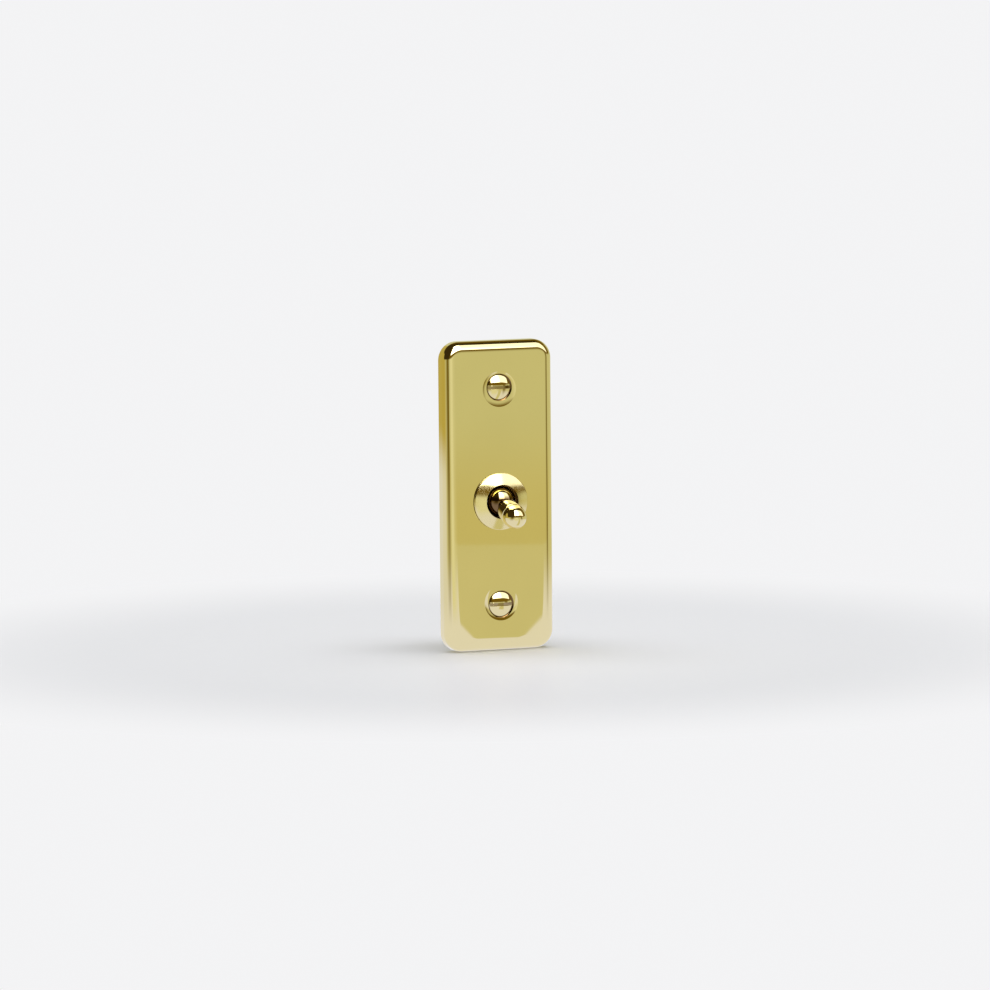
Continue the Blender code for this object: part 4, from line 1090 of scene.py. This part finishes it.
class SWITCH_OT_bush(bpy.types.Operator):
    """Turn the threaded bush that seats the ball, and finish the pin, washer and nut"""

    bl_idname = "switch.bush"
    bl_label = "Bush and nut"

    def execute(self, context):
        sizes = context.scene.switch_bush
        lever = context.scene.switch_lever
        gap = context.scene.switch_case.seat_gap
        low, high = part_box("mounting_bush")
        front = -low.y
        back = -high.y
        thread = context.scene.switch_plate.bush_hole - gap
        flange = (high.x - low.x) / 2
        flange_front = -(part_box("switch_cover")[1].y + gap)
        pivot = -LEVER_PIVOT.y
        seat = lever.ball_radius + sizes.running_gap
        swing = (high.y - LEVER_PIVOT.y) * TAIL_AXIS.z / TAIL_AXIS.y
        bore_radius = swing + lever.tail_radius / TAIL_AXIS.y + sizes.running_gap
        start = front - sizes.chamfer
        profile = [(seat + sizes.mouth, front), (thread - sizes.chamfer, front)]
        profile += thread_rings(thread, start, flange_front, front, flange_front, sizes.pitch)
        profile += [(flange, flange_front), (flange, back), (bore_radius, back)]
        profile += [(seat, pivot - sizes.seat_depth), (seat, front - sizes.mouth)]
        pin_low, pin_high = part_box("pivot_pin")
        pin_radius = (pin_high.z - pin_low.z) / 2 + gap
        pin_hole = rod(pin_radius, (2 * pin_low.x, 0, pivot), (2 * pin_high.x, 0, pivot))
        bush = carved(turned(profile, ROUND_STEPS), removed=[pin_hole])
        thread_top = front - 2 * sizes.pitch
        # The bush's dark finish is partly painted shade in the hole round the ball
        mesh = threaded(bush, thread, sizes.pitch, thread_top, flange_front, "dulled_brass")
        out_of_wall(mesh, 0, 0, LEVER_PIVOT.z)
        add_piece("bush_body", mesh, "dulled_brass", "switch_body", "mounting_bush")
        self.hex_nut(thread + gap)
        finish_node("pivot_pin", "plated_steel")
        finish_node("lock_washer", "plated_steel")
        return {"FINISHED"}

    def hex_nut(self, hole):
        """A hexagon with its corners turned off on both sides."""
        low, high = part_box("lock_nut")
        centre = centre_of("lock_nut")
        corner = (high.x - low.x) / 2
        flat = corner * math.sqrt(3) / 2
        turned_off = (corner - flat) * math.tan(math.radians(30))
        half = (high.y - low.y) / 2
        hexagon = [(x, z) for x, z, _ in circle(corner, 6, 0)]
        blank = [(flat, half), (corner, half - turned_off), (corner, turned_off - half), (flat, -half)]
        blank_mesh = turned(blank + [(hole, -half), (hole, half)], ROUND_STEPS)
        blank_mesh.transform(FACE_FRONT)
        nut = carved(prism(hexagon, -half, half), shared=[blank_mesh])
        nut.transform(Matrix.Translation(centre))
        add_piece("hex_nut", nut, "machined_brass", "switch_body", "lock_nut")


class SWITCH_OT_case(bpy.types.Operator):
    """Mould the case's base and cover, with rounded edges, pockets and wire holes"""

    bl_idname = "switch.case"
    bl_label = "Case"

    def execute(self, context):
        sizes = context.scene.switch_case
        half_width = (BASE_HIGH.x - BASE_LOW.x) / 2
        half_height = (BASE_HIGH.z - BASE_LOW.z) / 2
        middle = (BASE_HIGH.z + BASE_LOW.z) / 2
        outline = [(x, middle + z) for x, z in rounded_loop(half_width, half_height, sizes.corner_radius, 10)]
        self.base(sizes, outline, half_width, half_height, middle)
        self.cover(sizes, outline, context.scene.switch_plate.bush_hole)
        return {"FINISHED"}

    def base(self, sizes, outline, half_width, half_height, middle):
        """A contact chamber in front, and a narrower housing for the terminals behind."""
        gap = sizes.seat_gap
        block_low, block_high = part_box("common_terminal")
        top_screw = centre_of("upper_terminal_screw").z - middle
        block_front = block_high.y - sizes.block_depth
        floor_back = block_front - gap
        floor_front = floor_back - sizes.floor_thickness
        pocket_width = (block_high.x - block_low.x) / 2 + gap
        pocket_height = sizes.block_height / 2 + gap
        rear_width = pocket_width + sizes.side_wall
        rear_height = top_screw + pocket_height + sizes.side_wall
        rear_loop = rounded_loop(rear_width, rear_height, sizes.corner_radius, 10)
        rear = prism([(x, middle + z) for x, z in rear_loop], floor_front, BASE_HIGH.y)
        wide = half_width - sizes.side_wall
        tall = half_height - sizes.end_wall
        front = BASE_LOW.y - CUT_MARGIN
        cutters = [block((-wide, front, middle - tall), (wide, floor_front, middle + tall))]
        bore_y = block_front + sizes.bore_wall + sizes.bore_radius
        for z in (middle + top_screw, middle, middle - top_screw):
            pocket_low = (-pocket_width, floor_back, z - pocket_height)
            pocket_high = (pocket_width, BASE_HIGH.y + CUT_MARGIN, z + pocket_height)
            cutters.append(block(pocket_low, pocket_high))
            cutters.append(rod(sizes.bore_radius + gap, (-half_width, bore_y, z), (half_width, bore_y, z)))
        through = (floor_front - CUT_MARGIN, floor_back + CUT_MARGIN)
        for label in ("upper", "lower"):
            z = centre_of(label + "_fixed_contact_tip").z
            cutters.append(bore(sizes.stub_radius + gap, 0, z, *through))
        wide = sizes.cradle_width / 2 + gap
        tall = sizes.cradle_thickness / 2 + gap
        cutters.append(block((-wide, through[0], middle - tall), (wide, through[1], middle + tall)))
        for node in CASE_SCREWS:
            at = centre_of(node)
            cutters.append(bore(sizes.screw_hole, at.x, at.z, front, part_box(node)[1].y + gap))
        chamber = prism(outline, BASE_LOW.y, floor_back)
        mesh = carved(chamber, added=[rear], removed=cutters, bevel=sizes.edge_bevel)
        add_piece("case_base", mesh, "white_moulding", "switch_body", "switch_base")

    def cover(self, sizes, outline, hole):
        low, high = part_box("switch_cover")
        through = (low.y - CUT_MARGIN, high.y + CUT_MARGIN)
        cutters = [bore(hole, 0, LEVER_PIVOT.z, *through, ROUND_STEPS)]
        for node in CASE_SCREWS:
            at = centre_of(node)
            cutters.append(bore(sizes.screw_hole, at.x, at.z, *through))
        mesh = carved(prism(outline, low.y, high.y), removed=cutters, bevel=sizes.edge_bevel)
        add_piece("case_cover", mesh, "white_moulding", "switch_body", "switch_cover")


class SWITCH_OT_case_screws(bpy.types.Operator):
    """Turn the four small screws that hold the case together"""

    bl_idname = "switch.case_screws"
    bl_label = "Case screws"

    def execute(self, context):
        sizes = context.scene.switch_screws
        for node in CASE_SCREWS:
            low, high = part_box(node)
            centre = centre_of(node)
            head_radius = (high.x - low.x) / 2
            rounding = sizes.case_head / 3
            corner = arc((head_radius - rounding, -rounding), rounding, 90, 0, 6)
            underside = [(radius, -sizes.case_head) for radius in (head_radius, sizes.case_thread)]
            head = [(0, 0)] + corner + underside
            slot = slot_cutter(head_radius, sizes.case_head / 2, -sizes.case_head / 2, sizes.case_head)
            end = low.y - high.y
            mesh = threaded_screw(
                head, sizes.case_thread, end, sizes.pitch, slot, "plated_steel", CASE_SCREW_STEPS
            )
            out_of_wall(mesh, centre.x, low.y, centre.z)
            add_piece(node.replace("cover", "case"), mesh, "plated_steel", "switch_body", node)
        return {"FINISHED"}


class SWITCH_OT_terminals(bpy.types.Operator):
    """Machine the four brass terminals, and finish the contacts"""

    bl_idname = "switch.terminals"
    bl_label = "Terminals and contacts"

    def execute(self, context):
        sizes = context.scene.switch_case
        for label in TERMINALS:
            node = label + "_terminal"
            low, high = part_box(node)
            screw_low, screw_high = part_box(label + "_terminal_screw")
            screw = centre_of(label + "_terminal_screw")
            front = high.y - sizes.block_depth
            half_tall = sizes.block_height / 2
            body = block((low.x, front, screw.z - half_tall), (high.x, high.y, screw.z + half_tall))
            root = front + sizes.bore_wall / 2
            bore_y = front + sizes.bore_wall + sizes.bore_radius
            added = []
            removed = []
            if label in ("upper", "lower"):
                tip = label + "_fixed_contact_tip"
                z = centre_of(tip).z
                socket_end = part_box(tip)[1].y + sizes.seat_gap
                added.append(bore(sizes.stub_radius, 0, z, low.y, root))
                removed.append(bore(sizes.socket_radius, 0, z, low.y - CUT_MARGIN, socket_end))
            if label == "common":
                added.append(self.cradle(sizes, low.y, root, screw.z))
            wire_ends = [(2 * x, bore_y, screw.z) for x in (low.x, high.x)]
            removed.append(rod(sizes.bore_radius, *wire_ends))
            tapping = (screw_high.x - screw_low.x) / 2 + sizes.seat_gap
            removed.append(bore(tapping, 0, screw.z, bore_y, high.y + CUT_MARGIN))
            mesh = carved(body, added=added, removed=removed, bevel=sizes.block_bevel)
            add_piece(label + "_clamp", mesh, "machined_brass", "switch_body", node)
        finish_node("moving_contact", "spring_bronze")
        for label in ("upper", "lower"):
            finish_node(label + "_moving_contact_tip", "silver_contact")
            finish_node(label + "_fixed_contact_tip", "silver_contact")
        return {"FINISHED"}

    def cradle(self, sizes, front, back, z):
        """The forked post that the moving contact rocks on."""
        half_width = sizes.cradle_width / 2
        half_thick = sizes.cradle_thickness / 2
        inside = half_width - sizes.cradle_arm
        seat_y = JOINTS["seesaw_rock"]["pos_m"][1] + sizes.cradle_seat
        post = block((-half_width, front, z - half_thick), (half_width, back, z + half_thick))
        notch_front = front - CUT_MARGIN
        notch = block((-inside, notch_front, z - 2 * half_thick), (inside, seat_y, z + 2 * half_thick))
        return carved(post, removed=[notch])


class SWITCH_OT_terminal_screws(bpy.types.Operator):
    """Cut the four slotted terminal screws"""

    bl_idname = "switch.terminal_screws"
    bl_label = "Terminal screws"

    def execute(self, context):
        sizes = context.scene.switch_screws
        facing_back = Matrix.Rotation(-math.pi / 2, 4, "X")
        for label in TERMINALS:
            node = label + "_terminal_screw"
            low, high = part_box(node)
            centre = centre_of(node)
            radius = (high.x - low.x) / 2
            chamfer = sizes.grub_pitch / 2
            head = [(0, 0), (radius - chamfer, 0), (radius, -chamfer)]
            slot = slot_cutter(radius, sizes.grub_slot, -sizes.grub_slot_depth, CUT_MARGIN)
            end = low.y - high.y
            mesh = threaded_screw(head, radius, end, sizes.grub_pitch, slot, "plated_steel", GRUB_STEPS)
            mesh.transform(Matrix.Translation((centre.x, high.y, centre.z)) @ facing_back)
            add_piece(label + "_grub_screw", mesh, "plated_steel", label + "_screw", node)
        return {"FINISHED"}


# Stage

# The room that the metal mirrors: the world's backdrop, and a painted reflection that the floor glows with
# for glossy rays. A pair says where a change of tone begins and ends: directions in degrees,
# 0 straight out of the plate's front and positive to its right, and distances from the switch in metres
NEAR_FLOOR = (0.10, 0.28)
FLOOR_TO_ROOM = (0.06, 0.14)
ROOM_DEPTH = (0.35, 0.8)
PAPER_DEPTH = (0.50, 0.80)
PAPER_SIDE = (-95.0, -65.0)
LEFT_SCREEN_DEPTH = (-0.3, 0.75)
RIGHT_SCREEN_DEPTH = (0.0, 0.35)
CEILING_SOFT = (-2.0, 4.0)
CEILING_LOW = 4.0
CEILING_LIFT = 22.0
BEHIND = (95.0, 115.0)
OVERHEAD = (45.0, 65.0)
UPPER_LEFT = (-40.0, -20.0)
FLOOR_EDGE_SOFT = 2 * MM

# Bands of that room: left and right edge, and half the width over which each fades
GLOW = (-22.0, 8.0, 5.0, 9.0)
LEFT_SCREEN = (-66.0, -36.0, 14.0, 4.0)
RIGHT_SCREEN = (38.0, 52.0, 6.0, 8.0)

# The golden wedge, a painted reflection that only glossy rays see on the floor: where it begins, how it
# widens, its half width at the plate and its middle
WEDGE_START = (22 * MM, 30 * MM)
WEDGE_SPREAD = 0.114
WEDGE_HALF = 2.95 * MM
WEDGE_MIDDLE = -2.8 * MM
WEDGE_SOFT = (0.92, 1.08)

# The floor as the camera sees it
SPECKLE = Grain(3, detail=2.0)
PAGE_START = (0.10, 0.20)
FLOOR_GAP = 0.05 * MM
FLOOR_REACH = 1.2

# The lamp's size and place, and the softbox: how its face leans, where it is brightest and how it fades
LAMP_SIZE = (1.2, 0.6)
LAMP_SIDE = math.radians(160)
LAMP_HEIGHT = math.radians(84)
LAMP_AWAY = 0.9
SOFTBOX_RISE = Vector((0, 0.36, 1.5))
SOFTBOX_BRIGHT = (0.10, 0.36)
SOFTBOX_PEAK = 3.6
SOFTBOX_FADE = 3.0


def band(tree, value, low, high, soft_low, soft_high):
    """A soft-edged strip: 1 between low and high, 0 outside."""
    rising = ramp(tree, value, low - soft_low, low + soft_low)
    falling = ramp(tree, value, high - soft_high, high + soft_high, 1.0, 0.0)
    return product(tree, rising, falling)


def painted_floor_reflection(tree, studio, distance, ahead, across):
    """Painted reflection: the glow that the floor shows to glossy rays, cream near the plate but for a golden
    wedge straight ahead of it.
    """
    outside = blend(tree, ramp(tree, distance, *NEAR_FLOOR), studio.near_tone, studio.ground_tone)
    reach = calculate(tree, "MAXIMUM", ahead, 0.0)
    half = total(tree, product(tree, reach, WEDGE_SPREAD), WEDGE_HALF)
    off_middle = calculate(tree, "ABSOLUTE", difference(tree, across, WEDGE_MIDDLE))
    inside = ramp(tree, quotient(tree, off_middle, half), *WEDGE_SOFT, 1.0, 0.0)
    wedge = product(tree, inside, ramp(tree, ahead, *WEDGE_START))
    return blend(tree, wedge, outside, studio.ground_tone)


def mirrored_room(tree, studio, side, distance, ahead, across):
    """The low part of the room as polished metal sees it, by direction in degrees and by distance. On the
    floor it is a painted reflection that only glossy rays see.
    """
    floor = painted_floor_reflection(tree, studio, distance, ahead, across)
    edge = studio.floor_front
    past_edge = ramp(tree, ahead, edge - FLOOR_EDGE_SOFT, edge + FLOOR_EDGE_SOFT)
    room = blend(tree, ramp(tree, distance, *ROOM_DEPTH), studio.room_tone, studio.far_tone)
    tone = blend(tree, past_edge, floor, room)
    tone = blend(tree, band(tree, side, *GLOW), tone, studio.glow_tone)
    paper = blend(tree, ramp(tree, distance, *PAPER_DEPTH), studio.paper_tone, studio.dusk_tone)
    tone = blend(tree, ramp(tree, side, *PAPER_SIDE, 1.0, 0.0), tone, paper)
    for screen, depth in ((LEFT_SCREEN, LEFT_SCREEN_DEPTH), (RIGHT_SCREEN, RIGHT_SCREEN_DEPTH)):
        share = product(tree, band(tree, side, *screen), ramp(tree, distance, *depth))
        tone = blend(tree, share, tone, studio.shade_tone)
    return blend(tree, ramp(tree, distance, *FLOOR_TO_ROOM), floor, tone)


def compass(tree, x, y):
    """Direction in degrees: 0 straight out of the plate's front, and positive to its right."""
    return calculate(tree, "DEGREES", calculate(tree, "ARCTAN2", x, product(tree, y, -1.0)))


def mixed(tree, share, first, second):
    """Mix two surfaces."""
    node = tree.nodes.new("ShaderNodeMixShader")
    for socket, value in zip(node.inputs, (share, first, second)):
        tree.links.new(value, socket)
    return node.outputs[0]


def glowing(tree, colour_of_light, strength=1.0):
    node = tree.nodes.new("ShaderNodeEmission")
    put(tree, node.inputs["Color"], colour_of_light)
    put(tree, node.inputs["Strength"], strength)
    return node.outputs["Emission"]


def floor_finish(studio):
    """The pale floor: to the camera it runs out into the plain ground, and to glossy rays it glows with a
    painted reflection of the room.
    """
    material, tree, shader = new_finish("pale_floor", 0.0)
    shader.inputs["Roughness"].default_value = 0.45
    shader.inputs["Specular IOR Level"].default_value = 0.2
    tint = list(studio.floor_colour)
    tone = blend(tree, noise(tree, SPECKLE), shaded(tint, 0.99), shaded(tint, 1.01))
    put(tree, shader.inputs["Base Color"], tone)
    x, y, _ = split(tree, tree.nodes.new("ShaderNodeTexCoord").outputs["Object"])
    distance = calculate(tree, "SQRT", total(tree, product(tree, x, x), product(tree, y, y)))
    sine = math.sin(studio.yaw)
    cosine = math.cos(studio.yaw)
    ahead = difference(tree, product(tree, x, sine), product(tree, y, cosine))
    across = total(tree, product(tree, x, cosine), product(tree, y, sine))
    rays = tree.nodes.new("ShaderNodeLightPath").outputs
    seen = product(tree, ramp(tree, distance, *PAGE_START), rays["Is Camera Ray"])
    room = mirrored_room(tree, studio, compass(tree, x, y), distance, ahead, across)
    surface = mixed(tree, seen, shader.outputs["BSDF"], glowing(tree, (*studio.page_colour, 1)))
    # Painted reflection: glossy rays see the floor glow with the painted room in place of its lit surface
    surface = mixed(tree, rays["Is Glossy Ray"], surface, glowing(tree, room))
    tree.links.new(surface, tree.nodes["Material Output"].inputs["Surface"])
    return material


def room_world(studio):
    """A plain ground to the camera, an even fill, and for the metal a room with dark parts to mirror."""
    world = bpy.data.worlds.new("studio_room")
    world.use_nodes = True
    tree = world.node_tree
    x, y, z = split(tree, tree.nodes.new("ShaderNodeTexCoord").outputs["Generated"])
    height = calculate(tree, "DEGREES", calculate(tree, "ARCSINE", z))
    side = compass(tree, x, y)
    behind = ramp(tree, calculate(tree, "ABSOLUTE", side), *BEHIND)
    ceiling_edge = total(tree, product(tree, behind, CEILING_LIFT), CEILING_LOW)
    ceiling = ramp(tree, difference(tree, height, ceiling_edge), *CEILING_SOFT)
    upper_left = ramp(tree, side, *UPPER_LEFT, 1.0, 0.0)
    dark = calculate(tree, "MAXIMUM", ramp(tree, height, *OVERHEAD), upper_left)
    above = blend(tree, dark, studio.ceiling_tone, studio.dark_tone)
    far_room = mirrored_room(tree, studio, side, 1.0, 1.0, 0.0)
    rays = tree.nodes.new("ShaderNodeLightPath").outputs
    glossy = calculate(tree, "MAXIMUM", rays["Is Glossy Ray"], rays["Is Transmission Ray"])
    around = blend(tree, glossy, [studio.fill_level] * 3, blend(tree, ceiling, far_room, above))
    seen = blend(tree, rays["Is Camera Ray"], around, studio.page_colour)
    tree.links.new(seen, tree.nodes["Background"].inputs["Color"])
    bpy.context.scene.world = world


def add_lamp(studio):
    """One large soft lamp overhead, which lights the scene but is not mirrored."""
    lamp = bpy.data.lights.new("soft_lamp", "AREA")
    lamp.shape = "RECTANGLE"
    lamp.size, lamp.size_y = LAMP_SIZE
    lamp.energy = studio.lamp_level * math.pi * lamp.size * lamp.size_y
    holder = bpy.data.objects.new("soft_lamp", lamp)
    bpy.context.scene.collection.objects.link(holder)
    level = math.cos(LAMP_HEIGHT)
    towards = Vector((math.sin(LAMP_SIDE) * level, -math.cos(LAMP_SIDE) * level, math.sin(LAMP_HEIGHT)))
    turn = towards.to_track_quat("Z", "Y").to_matrix().to_4x4()
    holder.matrix_world = Matrix.Translation(towards * LAMP_AWAY) @ turn
    holder.visible_camera = False
    holder.visible_glossy = False


def add_softbox(studio):
    """The bright face of that lamp's softbox, near the switch, which shows only in the metal."""
    mesh = bpy.data.meshes.new("softbox_face")
    low = Vector((studio.softbox_left, -studio.softbox_away, studio.softbox_low))
    width = Vector((studio.softbox_width, 0, 0))
    corners = [low, low + width, low + width + SOFTBOX_RISE, low + SOFTBOX_RISE]
    mesh.from_pydata(corners, [], [(0, 1, 2, 3)])
    material = bpy.data.materials.new("softbox_face")
    material.use_nodes = True
    tree = material.node_tree
    x, _, z = split(tree, tree.nodes.new("ShaderNodeTexCoord").outputs["Object"])
    from_left = ramp(tree, x, studio.softbox_left, studio.softbox_left + studio.softbox_soft)
    from_below = ramp(tree, z, studio.softbox_low, studio.softbox_low + studio.softbox_soft)
    share = calculate(tree, "POWER", product(tree, from_left, from_below), SOFTBOX_FADE)
    brighter = ramp(tree, x, *SOFTBOX_BRIGHT, SOFTBOX_PEAK, 1.0)
    strength = product(tree, brighter, studio.softbox_level)
    clear = tree.nodes.new("ShaderNodeBsdfTransparent").outputs["BSDF"]
    face_light = mixed(tree, share, clear, glowing(tree, None, strength))
    tree.links.new(face_light, tree.nodes["Material Output"].inputs["Surface"])
    mesh.materials.append(material)
    face = bpy.data.objects.new("softbox_face", mesh)
    bpy.context.scene.collection.objects.link(face)
    face.visible_camera = False
    face.visible_diffuse = False
    face.visible_shadow = False


def add_camera(studio):
    lens = bpy.data.cameras.new("camera")
    lens.lens = studio.lens
    lens.sensor_width = 36.0
    lens.shift_x = studio.shift_x
    lens.shift_y = studio.shift_y
    lens.clip_start = 0.05
    camera = bpy.data.objects.new("camera", lens)
    bpy.context.scene.collection.objects.link(camera)
    yaw = studio.yaw
    rise = studio.elevation
    back = Vector((-math.sin(yaw) * math.cos(rise), -math.cos(yaw) * math.cos(rise), math.sin(rise)))
    right = Vector((math.cos(yaw), -math.sin(yaw), 0))
    basis = Matrix((right, back.cross(right), back)).transposed().to_4x4()
    lean = Matrix.Rotation(-studio.roll, 4, "Z")
    camera.matrix_world = Matrix.Translation(back * studio.distance) @ basis @ lean
    bpy.context.scene.camera = camera


class SWITCH_OT_stage(bpy.types.Operator):
    """Set up the pale floor, the soft light, the room and the camera"""

    bl_idname = "switch.stage"
    bl_label = "Stage"

    def execute(self, context):
        studio = context.scene.switch_studio
        context.scene.view_settings.view_transform = "Standard"
        floor_level = PLATE_LOW.z - FLOOR_GAP
        mesh = bpy.data.meshes.new("floor")
        shape = bmesh.new()
        bmesh.ops.create_grid(shape, x_segments=1, y_segments=1, size=FLOOR_REACH)
        bmesh.ops.translate(shape, vec=(0, 0, floor_level), verts=shape.verts)
        shape.to_mesh(mesh)
        shape.free()
        mesh.materials.append(floor_finish(studio))
        floor = bpy.data.objects.new("floor", mesh)
        context.scene.collection.objects.link(floor)
        room_world(studio)
        add_lamp(studio)
        add_softbox(studio)
        add_camera(studio)
        return {"FINISHED"}


PIECE_OPERATORS = (
    SWITCH_OT_plate,
    SWITCH_OT_fixing_screws,
    SWITCH_OT_bezel,
    SWITCH_OT_lever,
    SWITCH_OT_spring,
    SWITCH_OT_bush,
    SWITCH_OT_case,
    SWITCH_OT_case_screws,
    SWITCH_OT_terminals,
    SWITCH_OT_terminal_screws,
    SWITCH_OT_stage,
)


class VIEW3D_PT_switch(bpy.types.Panel):
    """Sizes and finishes of the switch, and the steps that build it"""

    bl_label = "Toggle wall switch"
    bl_space_type = "VIEW_3D"
    bl_region_type = "UI"
    bl_category = "Switch"

    def draw(self, context):
        for name in SETTINGS:
            group = getattr(context.scene, name)
            box = self.layout.box()
            for setting in group.__annotations__:
                box.prop(group, setting)
        for operator in PIECE_OPERATORS:
            self.layout.operator(operator.bl_idname)


def register():
    for name, group in SETTINGS.items():
        bpy.utils.register_class(group)
        setattr(bpy.types.Scene, name, PointerProperty(type=group))
    for operator in PIECE_OPERATORS:
        bpy.utils.register_class(operator)
    bpy.utils.register_class(VIEW3D_PT_switch)


def unregister():
    bpy.utils.unregister_class(VIEW3D_PT_switch)
    for operator in reversed(PIECE_OPERATORS):
        bpy.utils.unregister_class(operator)
    for name, group in reversed(SETTINGS.items()):
        delattr(bpy.types.Scene, name)
        bpy.utils.unregister_class(group)


def main():
    register()
    bpy.ops.switch.plate()
    bpy.ops.switch.fixing_screws()
    bpy.ops.switch.bezel()
    bpy.ops.switch.lever()
    bpy.ops.switch.spring()
    bpy.ops.switch.bush()
    bpy.ops.switch.case()
    bpy.ops.switch.case_screws()
    bpy.ops.switch.terminals()
    bpy.ops.switch.terminal_screws()
    bpy.ops.switch.stage()


if __name__ == "__main__":
    main()
